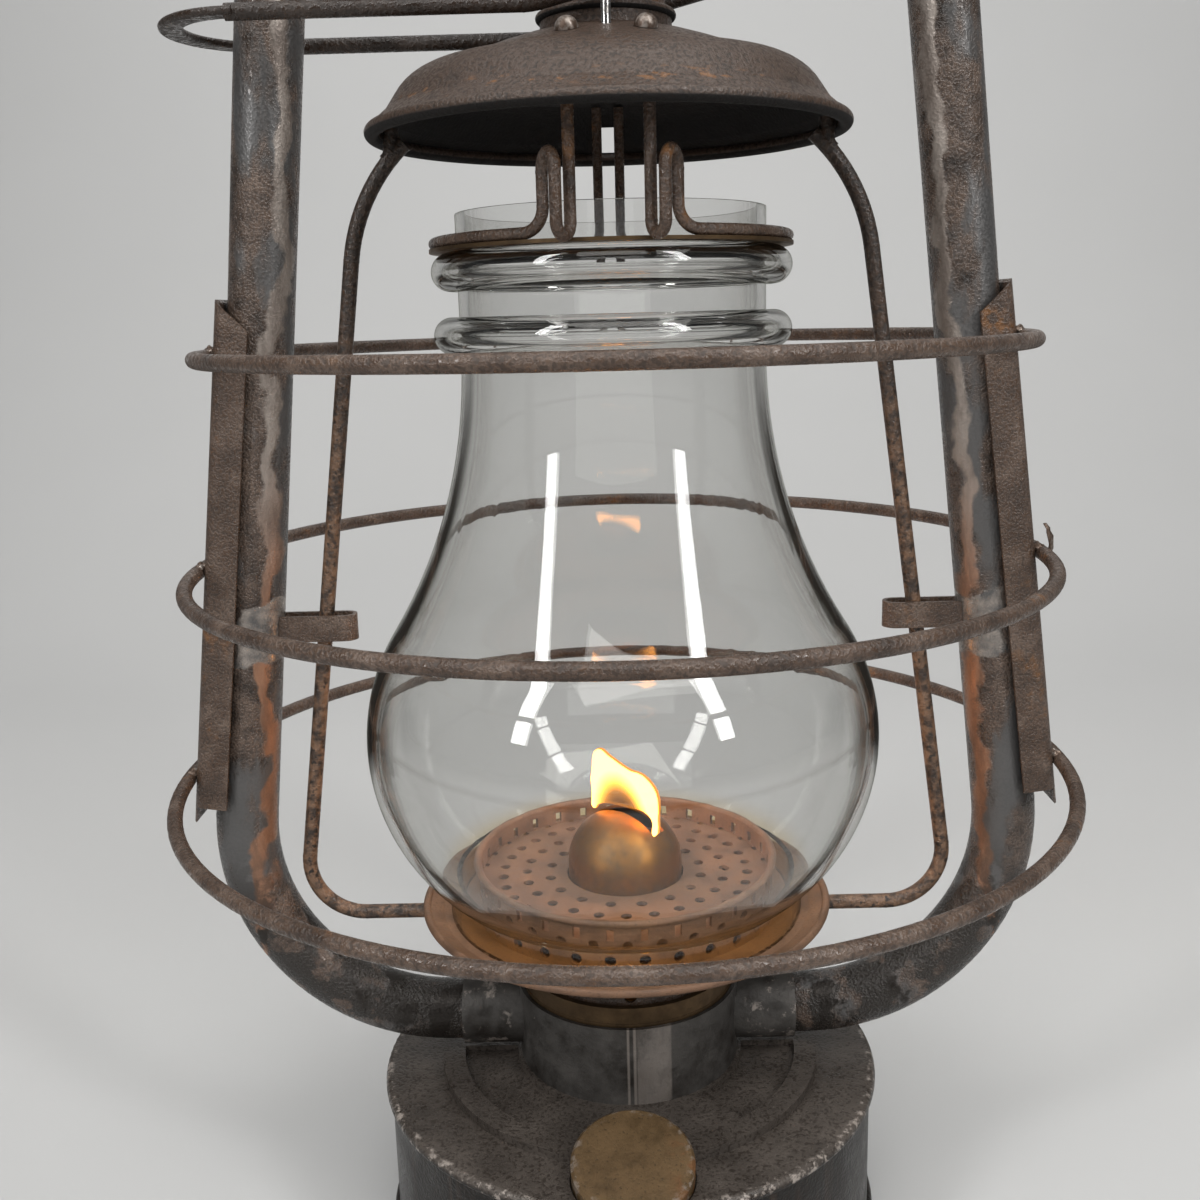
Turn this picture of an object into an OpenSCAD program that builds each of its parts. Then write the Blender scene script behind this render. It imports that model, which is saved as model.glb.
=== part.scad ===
// Tubular hurricane lantern with a wire guard, standing on its fount.
// Millimetres, +Z up. The origin is the middle of the foot, on the ground. -Y is the front.

/* [Fount] */
// Radius of the fount's rolled rim
fount_r = 65; // [62:0.5:68]
// Height of the rim's middle above the ground
fount_h = 46; // [44:0.5:50]
// Sheet thickness of the fount
fount_wall = 1; // [0.8:0.1:1.2]
// Radius of the rolled rim bead
rim_bead_r = 1.5; // [1.2:0.1:1.8]
// How far the raised middle of the top stands above the rim's middle
plateau_h = 2.4; // [2:0.1:3]
// Radius of the raised middle
plateau_r = 51; // [48:0.5:54]
// Outer radius of the pressed pockets in the raised middle
pocket_r = 45; // [42:0.5:47]
// Depth of the pressed pockets
pocket_depth = 1.5; // [1:0.1:1.8]
// Radius left standing round the filler, between the pockets
mound_r = 33; // [30:0.5:36]
// Width of the flat foot ring
foot_w = 3; // [2:0.2:4]
// How high the base plate sits above the ground
base_rise = 3; // [2:0.2:5]

/* [Filler] */
// Distance of the filler's seat in front of the middle
filler_y = 54; // [52:0.5:56]
// Height of the middle of the filler's seat
filler_z = 45; // [44:0.5:47]
// Forward lean of the filler, in degrees
filler_lean = 17; // [12:1:20]
// Outer radius of the filler spout
spout_r = 10.8; // [9:0.2:11]
// Height of the spout above its seat
spout_h = 4.8; // [4:0.2:4.8]
// Wall of the spout
spout_wall = 1.2; // [1:0.1:1.6]
// Radius of the filler cap
cap_r = 14.6; // [13.5:0.2:15.5]
// Height of the filler cap
cap_h = 6.8; // [6.6:0.2:8]
// Sheet thickness of the filler cap
cap_wall = 1; // [0.8:0.1:1.2]
// Thickness of the cap's gasket
gasket_t = 1; // [0.8:0.1:1.2]

/* [Burner chamber] */
// Outer radius of the chamber under the burner
neck_r = 29.6; // [28.5:0.1:31]
// Height of the chamber above the fount's raised middle
neck_h = 21; // [20:0.5:24]
// Wall of the chamber
neck_wall = 1; // [0.8:0.1:1.2]
// Length of the sleeve that holds each air tube
sleeve_len = 15; // [12:0.5:17]
// Wall of that sleeve
sleeve_wall = 1.2; // [1:0.1:1.6]

/* [Air tubes] */
// Outer diameter of the air tubes
tube_d = 16; // [14:0.2:17]
// Wall of the air tubes
tube_wall = 1; // [0.8:0.1:1.2]
// Height of the tubes' lower run
tube_run_z = 59.5; // [59:0.25:61]
// Bend radius at the bottom
tube_low_bend = 52; // [46:1:56]
// Bend radius at the top
tube_top_bend = 30; // [26:1:34]
// Distance of each tube from the middle at the top guard ring
tube_x = 86.4; // [84:0.2:90]
// Inward lean of the tubes, in degrees
tube_lean = 6.4; // [5.5:0.1:7]

/* [Crown] */
// Height of the tubes' upper run
crown_z = 362; // [360:1:370]
// Radius of the crown's drum
crown_r = 27; // [25:0.5:30]
// Half height of the crown's drum
crown_half_h = 13; // [12:0.5:15]
// Outer radius of the crown's flue
flue_r = 13.8; // [12.5:0.1:14]
// Sheet thickness of the crown
crown_wall = 1; // [0.8:0.1:1.2]
// Gap under the crown's cap
cap_gap = 5; // [4:0.5:7]
// Rise of the crown's cap
crown_cap_h = 9; // [7:0.5:12]

/* [Guard] */
// Diameter of the guard wire
guard_d = 3.6; // [3:0.1:4]
// Height of the top guard ring
ring_top_z = 236.6; // [232:0.2:240]
// Height of the middle guard ring
ring_mid_z = 184; // [180:0.5:188]
// Height of the lower guard ring
ring_low_z = 130; // [127:0.5:134]
// Outer face of the guard straps at the top ring, from the middle
strap_x = 95.9; // [95.6:0.1:98]
// Lean of the guard straps, in degrees
strap_lean = 7.45; // [7.1:0.05:7.8]
// Height of the straps' top end
strap_top_z = 250; // [247:0.5:254]
// Height of the straps' bottom end
strap_low_z = 119; // [117:0.5:122]
// Depth of the strap's flanges
strap_depth = 8.6; // [7:0.2:10]
// Sheet thickness of the straps
strap_wall = 0.9; // [0.7:0.1:1.2]
// Outer radius of the straps' bent corners
strap_corner = 3; // [2:0.2:3.4]

/* [Globe] */
// Outer radius of the globe's foot
globe_foot_r = 46.5; // [45.5:0.1:47.5]
// Radius of the globe's belly at its widest
belly_r = 65.5; // [64:0.25:67]
// Height of the widest place
belly_z = 139; // [137:0.5:141]
// Radius of the belly's curve
belly_curve = 51.2; // [49:0.2:53]
// Outer radius of the globe's neck
globe_neck_r = 37; // [36:0.1:38]
// Height where the neck is narrowest
globe_neck_z = 236; // [234:0.5:238]
// Height of the lower bead
bead_low_z = 240; // [239:0.25:241]
// Height of the upper bead
bead_high_z = 254.8; // [253.5:0.1:256]
// Radius of the beads' round
bead_r = 4.4; // [4:0.1:4.8]
// How far the beads' middles lie outside the neck
bead_out = 1.8; // [1.4:0.1:2.2]
// Height of the globe's open top
globe_top_z = 268; // [266:0.5:270]
// Thickness of the glass
glass_t = 2.2; // [1.8:0.1:2.4]
// Thickness of the flat ring on the globe's shoulder
globe_ring_t = 0.8; // [0.6:0.1:1]

/* [Globe plate] */
// Radius of the globe plate
plate_r = 52.9; // [52:0.1:54]
// Height of the plate's underside
plate_z = 90.5; // [90:0.1:92]
// Sheet thickness of the plate
plate_t = 1; // [0.8:0.1:1.2]
// How far the plate's edge turns up
plate_lip = 1.8; // [1:0.1:2.4]
// Outer radius of the draft basket
basket_r = 39.5; // [38:0.1:40.5]
// Height of the basket's rim above the plate
basket_h = 12; // [10:0.5:13]
// Depth of the basket's floor under its rim
basket_dip = 5; // [4:0.2:6]
// Diameter of the basket's round holes
basket_hole_d = 2.8; // [2:0.1:3]
// Holes round the basket's wall
basket_holes = 30; // [24:1:32]

/* [Hood] */
// Radius of the hood's rim, at the middle of its bead
hood_r = 55.1; // [54:0.1:56.5]
// Height of the hood's rim
hood_z = 286; // [284:0.5:288]
// Radius of the rim's bead
hood_bead_r = 1.7; // [1.4:0.1:2]
// Sheet thickness of the hood
hood_wall = 1; // [0.8:0.1:1.2]
// Outer radius of the hood's collar
collar_r = 15.3; // [15:0.1:15.6]
// Height of the collar above the rim
collar_rise = 26; // [25:0.25:27]
// Diameter of the wire that holds the globe
retainer_d = 2.6; // [2.2:0.1:2.8]

/* [Lift] */
// How far the globe and the hood rise
lift_travel = 26; // [20:1:27]
// Diameter of the lift wires
lift_d = 3.8; // [3.4:0.1:4]
// Distance of the lift wires from the middle at the top guard ring
lift_x = 65.6; // [64:0.2:67]
// Lean of the lift wires, in degrees
lift_lean = 8; // [7.5:0.1:8.3]
// Height of the guides on the air tubes
guide_z = 168; // [164:0.5:172]
// How far the guides reach in from the lift wires
guide_reach = 8.2; // [7.5:0.1:9]
// Height of the guides' strip
guide_h = 6.6; // [5.6:0.2:7.4]
// Thickness of the guides' strip
guide_t = 1; // [0.8:0.1:1.2]
// Diameter of the lift bail's wire
bail_d = 3.7; // [3.2:0.1:4]
// Half the distance between the bail's legs
bail_half_w = 19.2; // [19:0.1:20]
// Height of the bail's handle end at rest
bail_z = 310.5; // [310:0.25:313]
// Reach of the bail's handle end beyond the middle
bail_reach = 102; // [100:0.5:106]
// Height of the bail's pivot on the right air tube
pivot_z = 333; // [331:0.5:334]
// Radius of the pivot studs
stud_r = 1.5; // [1.3:0.1:1.7]
// Diameter of the bright hooks between bail and hood
link_d = 2.2; // [1.8:0.1:2.4]

/* [Burner] */
// Outer radius of the burner's brass collar
burner_r = 28.4; // [27.6:0.1:29]
// Height of the brass collar above the chamber
burner_h = 5.2; // [4.6:0.2:6]
// Outer radius of the gallery under the plate
gallery_r = 26.8; // [26:0.1:27.4]
// Outer radius of the burner dome
dome_r = 15.2; // [14.6:0.1:15.8]
// Height of the dome's top
dome_top_z = 116.6; // [115:0.2:118]
// Sheet thickness of the burner
burner_wall = 0.9; // [0.7:0.1:1.1]
// Turn of the wick slot seen from above, in degrees
wick_turn = -35; // [-45:1:-25]
// Width of the wick
wick_w = 16; // [14:0.5:17]
// Thickness of the wick
wick_t = 2.4; // [2:0.1:2.8]
// Height of the wick's top at rest
wick_top_z = 112; // [110:0.5:113]
// Room left under the wick for winding it down
wick_play = 10; // [9:0.5:14]
// Height of the wick spindle
spindle_z = 80.5; // [80:0.1:81.5]
// Radius of the wick spindle
spindle_r = 1.5; // [1.3:0.1:1.7]
// Radius of the wick wheels
wheel_r = 4; // [3.6:0.1:4.4]
// Teeth on each wick wheel
wheel_teeth = 12; // [9:1:16]
// Radius of the wick knob
knob_r = 6.6; // [5.5:0.1:7]
// Distance of the knob from the middle
knob_reach = 48; // [46:0.5:52]

/* [Fits] */
// Radial gap of a turning fit
turn_gap = 0.05; // [0.03:0.01:0.08]
// Gap between sliding pieces
slide_gap = 0.4; // [0.3:0.05:0.5]
// Gap between a moving piece and its seat
seat_gap = 0.3; // [0.2:0.05:0.4]
// Gap of a fixed joint between sheets
fit_gap = 0.1; // [0.05:0.01:0.15]

/* [Hidden] */
$fn = 96;

// Colours
rust = [0.30, 0.21, 0.16];
dark_steel = [0.24, 0.23, 0.22];
worn_steel = [0.40, 0.38, 0.36];
bright_steel = [0.72, 0.72, 0.72];
copper_rust = [0.50, 0.32, 0.22];
old_brass = [0.45, 0.34, 0.18];
clear_glass = [0.80, 0.85, 0.85, 0.35];
cotton = [0.85, 0.82, 0.74];
fibre = [0.35, 0.25, 0.18];

// Heights that follow from the driving sizes
over = 1;
top_z = fount_h + plateau_h;
neck_top_z = top_z + neck_h;
burner_top_z = neck_top_z + burner_h;
plate_top_z = plate_z + plate_t;
basket_top_z = plate_top_z + basket_h;
basket_floor_z = basket_top_z - basket_dip;
collar_top_z = hood_z + collar_rise;
crown_low_z = crown_z - crown_half_h;
crown_high_z = crown_z + crown_half_h;
ring_seat_z = bead_high_z + bead_r;
retainer_z = ring_seat_z + globe_ring_t + retainer_d/2;

// Vectors and paths
function unit(v) = v/norm(v);
function left_of(v) = [-v.y, v.x];
function turn_at(a, b) = atan2(a.x*b.y - a.y*b.x, a.x*b.x + a.y*b.y);
function heading(path, i) = unit(path[i + 1] - path[i]);
function corner_turn(path, i) = turn_at(heading(path, i - 1), heading(path, i));
// How much of each leg a rounded corner takes
function corner_cut(path, bends, i) =
    (i == 0 || i == len(path) - 1) ? 0 : bends[i - 1]*tan(abs(corner_turn(path, i))/2);
function lengthened(path, extra) = let (last = len(path) - 1) [
    for (i = [0:last])
        i == 0 ? path[0] - extra*heading(path, 0)
        : i == last ? path[last] + extra*heading(path, last - 1) : path[i]];
// Points on an arc in the plane
function arc(centre, r, from, to, steps = 8) =
    [for (i = [0:steps]) let (a = from + (to - from)*i/steps) centre + r*[cos(a), sin(a)]];

// Round rod between two points in space
module rod(from, to, d) {
    v = to - from;
    translate(from)
        rotate([0, acos(v.z/norm(v)), atan2(v.y, v.x)])
            cylinder(d = d, h = norm(v));
}

// Thin collar where a straight length meets a bend, so that both run into one piece
collar_lip = 0.04;
collar_len = 0.6;
module joint(at, way, d) rod(at - way*collar_len/2, at + way*collar_len/2, d + 2*collar_lip);

// Round rod along a path in the XY plane, with a bend radius at each inner corner
module bent_rod(path, bends, d) {
    last = len(path) - 1;
    for (i = [0:last - 1]) {
        way = heading(path, i);
        from = path[i] + way*corner_cut(path, bends, i);
        to = path[i + 1] - way*corner_cut(path, bends, i + 1);
        rod([from.x, from.y, 0], [to.x, to.y, 0], d);
    }
    for (i = [1:last - 1]) {
        way = heading(path, i - 1);
        turn = corner_turn(path, i);
        way_out = heading(path, i);
        start = path[i] - way*corner_cut(path, bends, i);
        finish = path[i] + way_out*corner_cut(path, bends, i);
        joint([start.x, start.y, 0], [way.x, way.y, 0], d);
        joint([finish.x, finish.y, 0], [way_out.x, way_out.y, 0], d);
        side = turn > 0 ? left_of(way) : -left_of(way);
        centre = start + bends[i - 1]*side;
        first = atan2(-side.y, -side.x) + min(turn, 0);
        translate([centre.x, centre.y, 0])
            rotate([0, 0, first])
                rotate_extrude(angle = abs(turn))
                    translate([bends[i - 1], 0])
                        circle(d = d);
    }
}

// Round tube along the same kind of path
module bent_tube(path, bends, d, wall) {
    difference() {
        bent_rod(path, bends, d);
        bent_rod(lengthened(path, over), bends, d - 2*wall);
    }
}

// Stands a drawing of the XY plane upright, so that its Y runs up
module upright() rotate([90, 0, 0]) children();

// Turns the burner's own X along the wick's width
module along_wick() rotate([0, 0, wick_turn]) children();

// Puts a piece on the filler's leaning axis, with the seat as its ground
module at_filler() translate([0, -filler_y, filler_z]) rotate([filler_lean, 0, 0]) children();

// Outside of the fount as a solid of revolution, inset by a wall
module fount_body(inset) {
    side_r = fount_r - inset;
    rotate_extrude() {
        translate([0, base_rise + inset])
            square([side_r, fount_h - base_rise - 2*inset]);
        translate([0, base_rise + inset])
            square([plateau_r - inset, top_z - base_rise - 2*inset]);
    }
}

// The two pressed pockets on each side of the filler, mirrored to the back
module pockets() {
    for (back = [0, 1])
        mirror([0, back, 0])
            translate([0, 0, top_z - pocket_depth])
                linear_extrude(pocket_depth + over)
                    difference() {
                        circle(r = pocket_r);
                        circle(r = neck_r + fount_wall);
                        translate([0, -filler_y])
                            circle(r = mound_r);
                        translate([-fount_r, -sleeve_wall])
                            square([2*fount_r, fount_r]);
                    }
}

module fount_shell() {
    color(dark_steel)
        difference() {
            union() {
                fount_body(0);
                rotate_extrude() {
                    translate([fount_r, fount_h - rim_bead_r])
                        circle(r = rim_bead_r);
                    translate([fount_r - foot_w, 0])
                        square([foot_w, base_rise + over]);
                    translate([fount_r, rim_bead_r + foot_w])
                        circle(r = rim_bead_r);
                }
            }
            pockets();
            at_filler() cylinder(r = cap_r + slide_gap, h = cap_h + filler_y);
            difference() {
                fount_body(fount_wall);
                translate([0, 0, top_z - pocket_depth - fount_wall])
                    cylinder(r = pocket_r + fount_wall, h = pocket_depth + over);
                at_filler()
                    translate([0, 0, -fount_wall])
                        cylinder(r = cap_r + slide_gap + fount_wall, h = filler_y);
            }
            at_filler()
                translate([0, 0, -3*fount_wall])
                    cylinder(r = spout_r - spout_wall, h = 6*fount_wall);
            translate([0, 0, base_rise - over])
                cylinder(r = fount_r - foot_w, h = over + 2*fount_wall);
            translate([0, 0, top_z - pocket_depth - 2*fount_wall])
                cylinder(r = neck_r - 3*neck_wall, h = pocket_depth + 4*fount_wall);
        }
}

module fount_base() {
    color(dark_steel)
        translate([0, 0, base_rise])
            rotate_extrude() {
                square([fount_r - foot_w, fount_wall]);
                translate([fount_r - foot_w - 4*fount_wall, 0])
                    square([fount_wall, 3*fount_wall]);
            }
}

module filler_spout() {
    color(old_brass)
        at_filler()
            rotate_extrude()
                difference() {
                    square([spout_r, spout_h]);
                    translate([0, -over])
                        square([spout_r - spout_wall, spout_h + 2*over]);
                }
}

// The cap's own height is its skirt, its top sheet and the gasket over the spout
module filler_cap() {
    color(old_brass)
        at_filler()
            translate([0, 0, seat_gap])
                rotate_extrude() {
                    difference() {
                        square([cap_r, cap_h]);
                        translate([-over, -over])
                            square([cap_r - cap_wall + over, cap_h - cap_wall + over]);
                        translate([cap_r, cap_h])
                            rotate(45)
                                square(cap_wall, center = true);
                    }
                    translate([spout_r + slide_gap, 0])
                        square([cap_r - cap_wall - spout_r - slide_gap + fit_gap, cap_h - cap_wall]);
                }
}

module filler_gasket() {
    color(fibre)
        at_filler()
            translate([0, 0, seat_gap + cap_h - cap_wall - gasket_t])
                rotate_extrude()
                    translate([spout_r - 2*spout_wall, 0])
                        square([2*spout_wall, gasket_t - fit_gap]);
}

// Distance of the air tubes from the middle at a height
function tube_at(z) = tube_x + (ring_top_z - z)*tan(tube_lean);
tube_path = [
    [neck_r - neck_wall, tube_run_z],
    [tube_at(tube_run_z), tube_run_z],
    [tube_at(crown_z), crown_z],
    [crown_r - crown_wall, crown_z]];
tube_bends = [tube_low_bend, tube_top_bend];

module fount_neck() {
    sleeve_r = tube_d/2 + fit_gap;
    color(dark_steel)
        difference() {
            union() {
                translate([0, 0, top_z])
                    cylinder(r = neck_r, h = neck_h);
                translate([-neck_r - sleeve_len, 0, tube_run_z])
                    rotate([0, 90, 0])
                        cylinder(r = sleeve_r + sleeve_wall, h = 2*(neck_r + sleeve_len));
            }
            translate([0, 0, top_z - over])
                cylinder(r = neck_r - neck_wall, h = neck_h + 2*over);
            translate([-neck_r - sleeve_len - over, 0, tube_run_z])
                rotate([0, 90, 0])
                    cylinder(r = sleeve_r, h = 2*(neck_r + sleeve_len + over));
        }
}

module air_tube() upright() bent_tube(tube_path, tube_bends, tube_d, tube_wall);
module air_tube_left() color(worn_steel) mirror([1, 0, 0]) air_tube();
module air_tube_right() color(worn_steel) air_tube();

// Flue, drum and top sheet of the crown, as the outline of half its section
module crown_section(inset) {
    flare = crown_r - flue_r;
    translate([0, collar_top_z - collar_rise/3])
        square([flue_r - inset, crown_z - collar_top_z + collar_rise/3]);
    polygon(concat(
        [[0, crown_low_z], [flue_r - inset, crown_low_z + inset]],
        [[crown_r - inset, crown_low_z + flare/3 + inset]],
        [[crown_r - inset, crown_high_z - inset], [0, crown_high_z - inset]]));
}

module crown() {
    color(rust)
        difference() {
            rotate_extrude()
                difference() {
                    crown_section(0);
                    crown_section(crown_wall);
                    square([flue_r - crown_wall, crown_low_z]);
                }
            translate([-2*crown_r, 0, crown_z])
                rotate([0, 90, 0])
                    cylinder(d = tube_d + 2*fit_gap, h = 4*crown_r);
            translate([0, 0, crown_z])
                cylinder(r = flue_r - crown_wall, h = crown_half_h + over);
        }
}

module crown_cap() {
    skirt_r = crown_r + 2*crown_wall;
    curve = (skirt_r*skirt_r + crown_cap_h*crown_cap_h)/(2*crown_cap_h);
    edge = asin(skirt_r/curve);
    middle = [0, crown_high_z + cap_gap + crown_cap_h - curve];
    color(rust) {
        rotate_extrude()
            polygon(concat(
                arc(middle, curve, 90, 90 - edge, 10),
                arc(middle, curve - crown_wall, 90 - edge, 90, 10)));
        for (i = [0:3])
            rotate([0, 0, 45 + 90*i])
                translate([crown_r - 3*crown_wall, 0, crown_high_z])
                    cylinder(r = 1.5*crown_wall, h = cap_gap + crown_cap_h/3);
    }
}

// Outer face of the guard straps at a height
strap_half_w = tube_d/2 + 2*fit_gap + strap_wall + 0.8;
function strap_at(z) = strap_x + (ring_top_z - z)*tan(strap_lean);
function ring_r_at(z) = norm([strap_at(z) + fit_gap, strap_half_w - strap_corner]) + guard_d/2;

// Section of the strap's space, with its outer face at X = 0 and round outer corners, inset by a wall
module strap_section(inset, margin) {
    flat_w = strap_half_w - strap_corner;
    translate([-strap_depth - margin, -flat_w])
        square([strap_depth + margin - inset, 2*flat_w]);
    translate([-strap_depth - margin, -strap_half_w + inset])
        square([strap_depth + margin - strap_corner, 2*(strap_half_w - inset)]);
    for (side = [-1, 1])
        translate([-strap_corner, side*flat_w])
            circle(r = strap_corner - inset);
}

// U-shaped strap round the outer side of an air tube, with a slanting top end and two welded spacers
module guard_strap() {
    length = (strap_top_z - strap_low_z)/cos(strap_lean);
    difference() {
        translate([strap_at(strap_low_z), 0, strap_low_z])
            rotate([0, -strap_lean, 0])
                difference() {
                    linear_extrude(length)
                        difference() {
                            strap_section(0, 0);
                            strap_section(strap_wall, over);
                        }
                    translate([-strap_depth - strap_wall, -tube_d, -over])
                        cube([strap_depth, 2*tube_d, strap_depth/2 + over]);
                }
        translate([strap_at(strap_top_z) - strap_depth, -tube_d, strap_top_z - strap_depth])
            rotate([0, -45, 0])
                cube([2*strap_depth, 2*tube_d, 2*strap_depth]);
    }
    for (z = [strap_low_z + strap_depth, strap_top_z - 2*strap_depth])
        translate([tube_at(z) + tube_d/2 + fit_gap, 0, z])
            rotate([0, 90, 0])
                cylinder(r = strap_wall*2.5, h = strap_at(z) - tube_at(z) - tube_d/2 - fit_gap - strap_wall/2);
}
module guard_strap_left() color(rust) mirror([1, 0, 0]) guard_strap();
module guard_strap_right() color(rust) guard_strap();

module guard_ring(z) {
    color(rust)
        translate([0, 0, z])
            rotate_extrude()
                translate([ring_r_at(z), 0])
                    circle(d = guard_d);
}
module guard_ring_top() guard_ring(ring_top_z);
module guard_ring_middle() guard_ring(ring_mid_z);
module guard_ring_lower() guard_ring(ring_low_z);

// Distance of the lift wires from the middle at a height
function lift_at(z) = lift_x + (ring_top_z - z)*tan(lift_lean);

// Strip bent into a long eye on an air tube, in which a lift wire slides
module guide_space(r, length) {
    circle(r = r);
    translate([0, -r])
        square([length, 2*r]);
}
module lift_guide() {
    inner_r = lift_d/2 + slide_gap;
    outer_r = inner_r + guide_t;
    eye_x = lift_at(guide_z) - guide_reach + outer_r;
    difference() {
        translate([eye_x, 0, guide_z - guide_h/2])
            linear_extrude(guide_h)
                difference() {
                    guide_space(outer_r, tube_at(guide_z) - eye_x);
                    guide_space(inner_r, tube_at(guide_z) - eye_x + over);
                }
        translate([tube_at(guide_z), 0, guide_z])
            rotate([0, -tube_lean, 0])
                translate([0, 0, -guide_h])
                    cylinder(r = tube_d/2 + fit_gap, h = 2*guide_h);
    }
}
module lift_guide_left() color(rust) mirror([1, 0, 0]) lift_guide();
module lift_guide_right() color(rust) lift_guide();

// Band on the right air tube with a stud to the front and one to the back
pivot_x = tube_at(pivot_z);
module lever_band() {
    inner_r = tube_d/2 + fit_gap;
    band_r = inner_r + 1.2;
    stud_end = bail_half_w + bail_d/2 + seat_gap;
    color(bright_steel) {
        translate([pivot_x, 0, pivot_z])
            rotate([0, -tube_lean, 0])
                translate([0, 0, -2*bail_d/2])
                    difference() {
                        cylinder(r = band_r, h = 2*bail_d);
                        translate([0, 0, -over])
                            cylinder(r = inner_r, h = 2*bail_d + 2*over);
                    }
        for (side = [-1, 1])
            translate([pivot_x, 0, pivot_z])
                rotate([-90*side, 0, 0]) {
                    translate([0, 0, inner_r + fit_gap])
                        cylinder(r = stud_r, h = stud_end - inner_r);
                    translate([0, 0, stud_end])
                        cylinder(r = 2*stud_r, h = stud_r);
                }
    }
}

// Wire lever: an eye on each stud, two legs past the flue and a flat loop round the left tube
bail_kink_x = -16;
bail_turn_x = bail_half_w - bail_reach + bail_d/2;
module lift_bail() {
    eye_r = stud_r + turn_gap + bail_d/2;
    pivot = [pivot_x, pivot_z];
    kink = [bail_kink_x, bail_z];
    leg = [pivot + eye_r*unit(kink - pivot), kink, [bail_turn_x - bail_d/2, bail_z]];
    color(rust) {
        for (side = [-1, 1])
            translate([0, side*bail_half_w, 0])
                upright() {
                    bent_rod(leg, [4*bail_d], bail_d);
                    translate([pivot.x, pivot.y, 0])
                        rotate_extrude()
                            translate([eye_r, 0])
                                circle(d = bail_d);
                }
        translate([bail_turn_x, 0, bail_z])
            rotate([0, 0, 90])
                rotate_extrude(angle = 180)
                    translate([bail_half_w, 0]) {
                        square([bail_d, bail_d/2], center = true);
                        for (edge = [-1, 1])
                            translate([edge*bail_d/2, 0])
                                circle(d = bail_d/2);
                    }
    }
}

// Height of the bail's legs at a place between pivot and kink
function bail_leg_at(x) = bail_z + (x - bail_kink_x)*(pivot_z - bail_z)/(pivot_x - bail_kink_x);

// Bright hook from the hood's top over a leg of the bail
hook_r = bail_d/2 + slide_gap + link_d/2;
link_foot_r = bail_half_w + hook_r;
module lift_link() {
    hook_z = bail_leg_at(0);
    foot_z = hood_top_at(link_foot_r) - 2*hood_wall;
    color(bright_steel) {
        rod([0, -link_foot_r, foot_z], [0, -link_foot_r, hook_z], link_d);
        joint([0, -link_foot_r, hook_z], [0, 0, 1], link_d);
        translate([0, -bail_half_w, hook_z])
            rotate([90, 0, -90])
                rotate_extrude(angle = 180)
                    translate([hook_r, 0])
                        circle(d = link_d);
    }
}
module lift_link_front() lift_link();
module lift_link_rear() mirror([0, 1, 0]) lift_link();

// Upper side of the hood's section, from the rim to the collar: rim lip, steep curve, step and slope
hood_rise = 21.5;
hood_points = concat(
    [[hood_r, hood_z + hood_bead_r]],
    [[hood_r - 3.2, hood_z + 4.4]],
    arc([hood_r - 16.6, hood_z + 1], 13, 32, 68, 5),
    [[hood_r - 18.6, hood_z + 14]],
    [[hood_r - 21.6, hood_z + 15.6]],
    [[hood_r - 27.6, hood_z + 17.8]],
    [[hood_r - 33.6, hood_z + 19.8]],
    [[collar_r + fit_gap, hood_z + hood_rise]]);
function hood_top_at(r) = lookup(r, [for (i = [len(hood_points) - 1:-1:0]) hood_points[i]]);

module hood() {
    under = [for (i = [len(hood_points) - 1:-1:0]) hood_points[i] - [0, hood_wall]];
    slot_w = 2*retainer_d + 2.4;
    color(rust)
        difference() {
            rotate_extrude() {
                polygon(concat(hood_points, under));
                translate([hood_r, hood_z])
                    circle(r = hood_bead_r);
            }
            translate([-slot_w/2, retainer_r, hood_z + hood_bead_r])
                cube([slot_w, hood_r, 6*hood_wall]);
            for (side = [-1, 1])
                translate([0, side*link_foot_r, hood_z])
                    cylinder(d = link_d + 2*fit_gap, h = hood_rise + over);
        }
}

module hood_collar() {
    foot_z = hood_z + hood_rise - 2*hood_wall;
    color(rust)
        rotate_extrude() {
            translate([collar_r - hood_wall, foot_z])
                square([hood_wall, collar_top_z - foot_z]);
            translate([collar_r, collar_top_z - hood_wall])
                circle(r = hood_wall);
        }
}

// Half-moon heads of the rivets that hold the globe wires
lug_x = 8.4;
lug_y = 27;
hood_slope = atan(2.2/6);
module hood_lugs() {
    lug_z = hood_top_at(norm([lug_x, lug_y]));
    color(bright_steel)
        for (side = [-1, 1])
            translate([side*lug_x, -lug_y, lug_z + fit_gap])
                rotate([0, 0, atan2(-lug_y, side*lug_x)])
                    rotate([0, hood_slope, 0])
                        rotate_extrude()
                            intersection() {
                                circle(r = retainer_d);
                                square(retainer_d);
                            }
}

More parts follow.
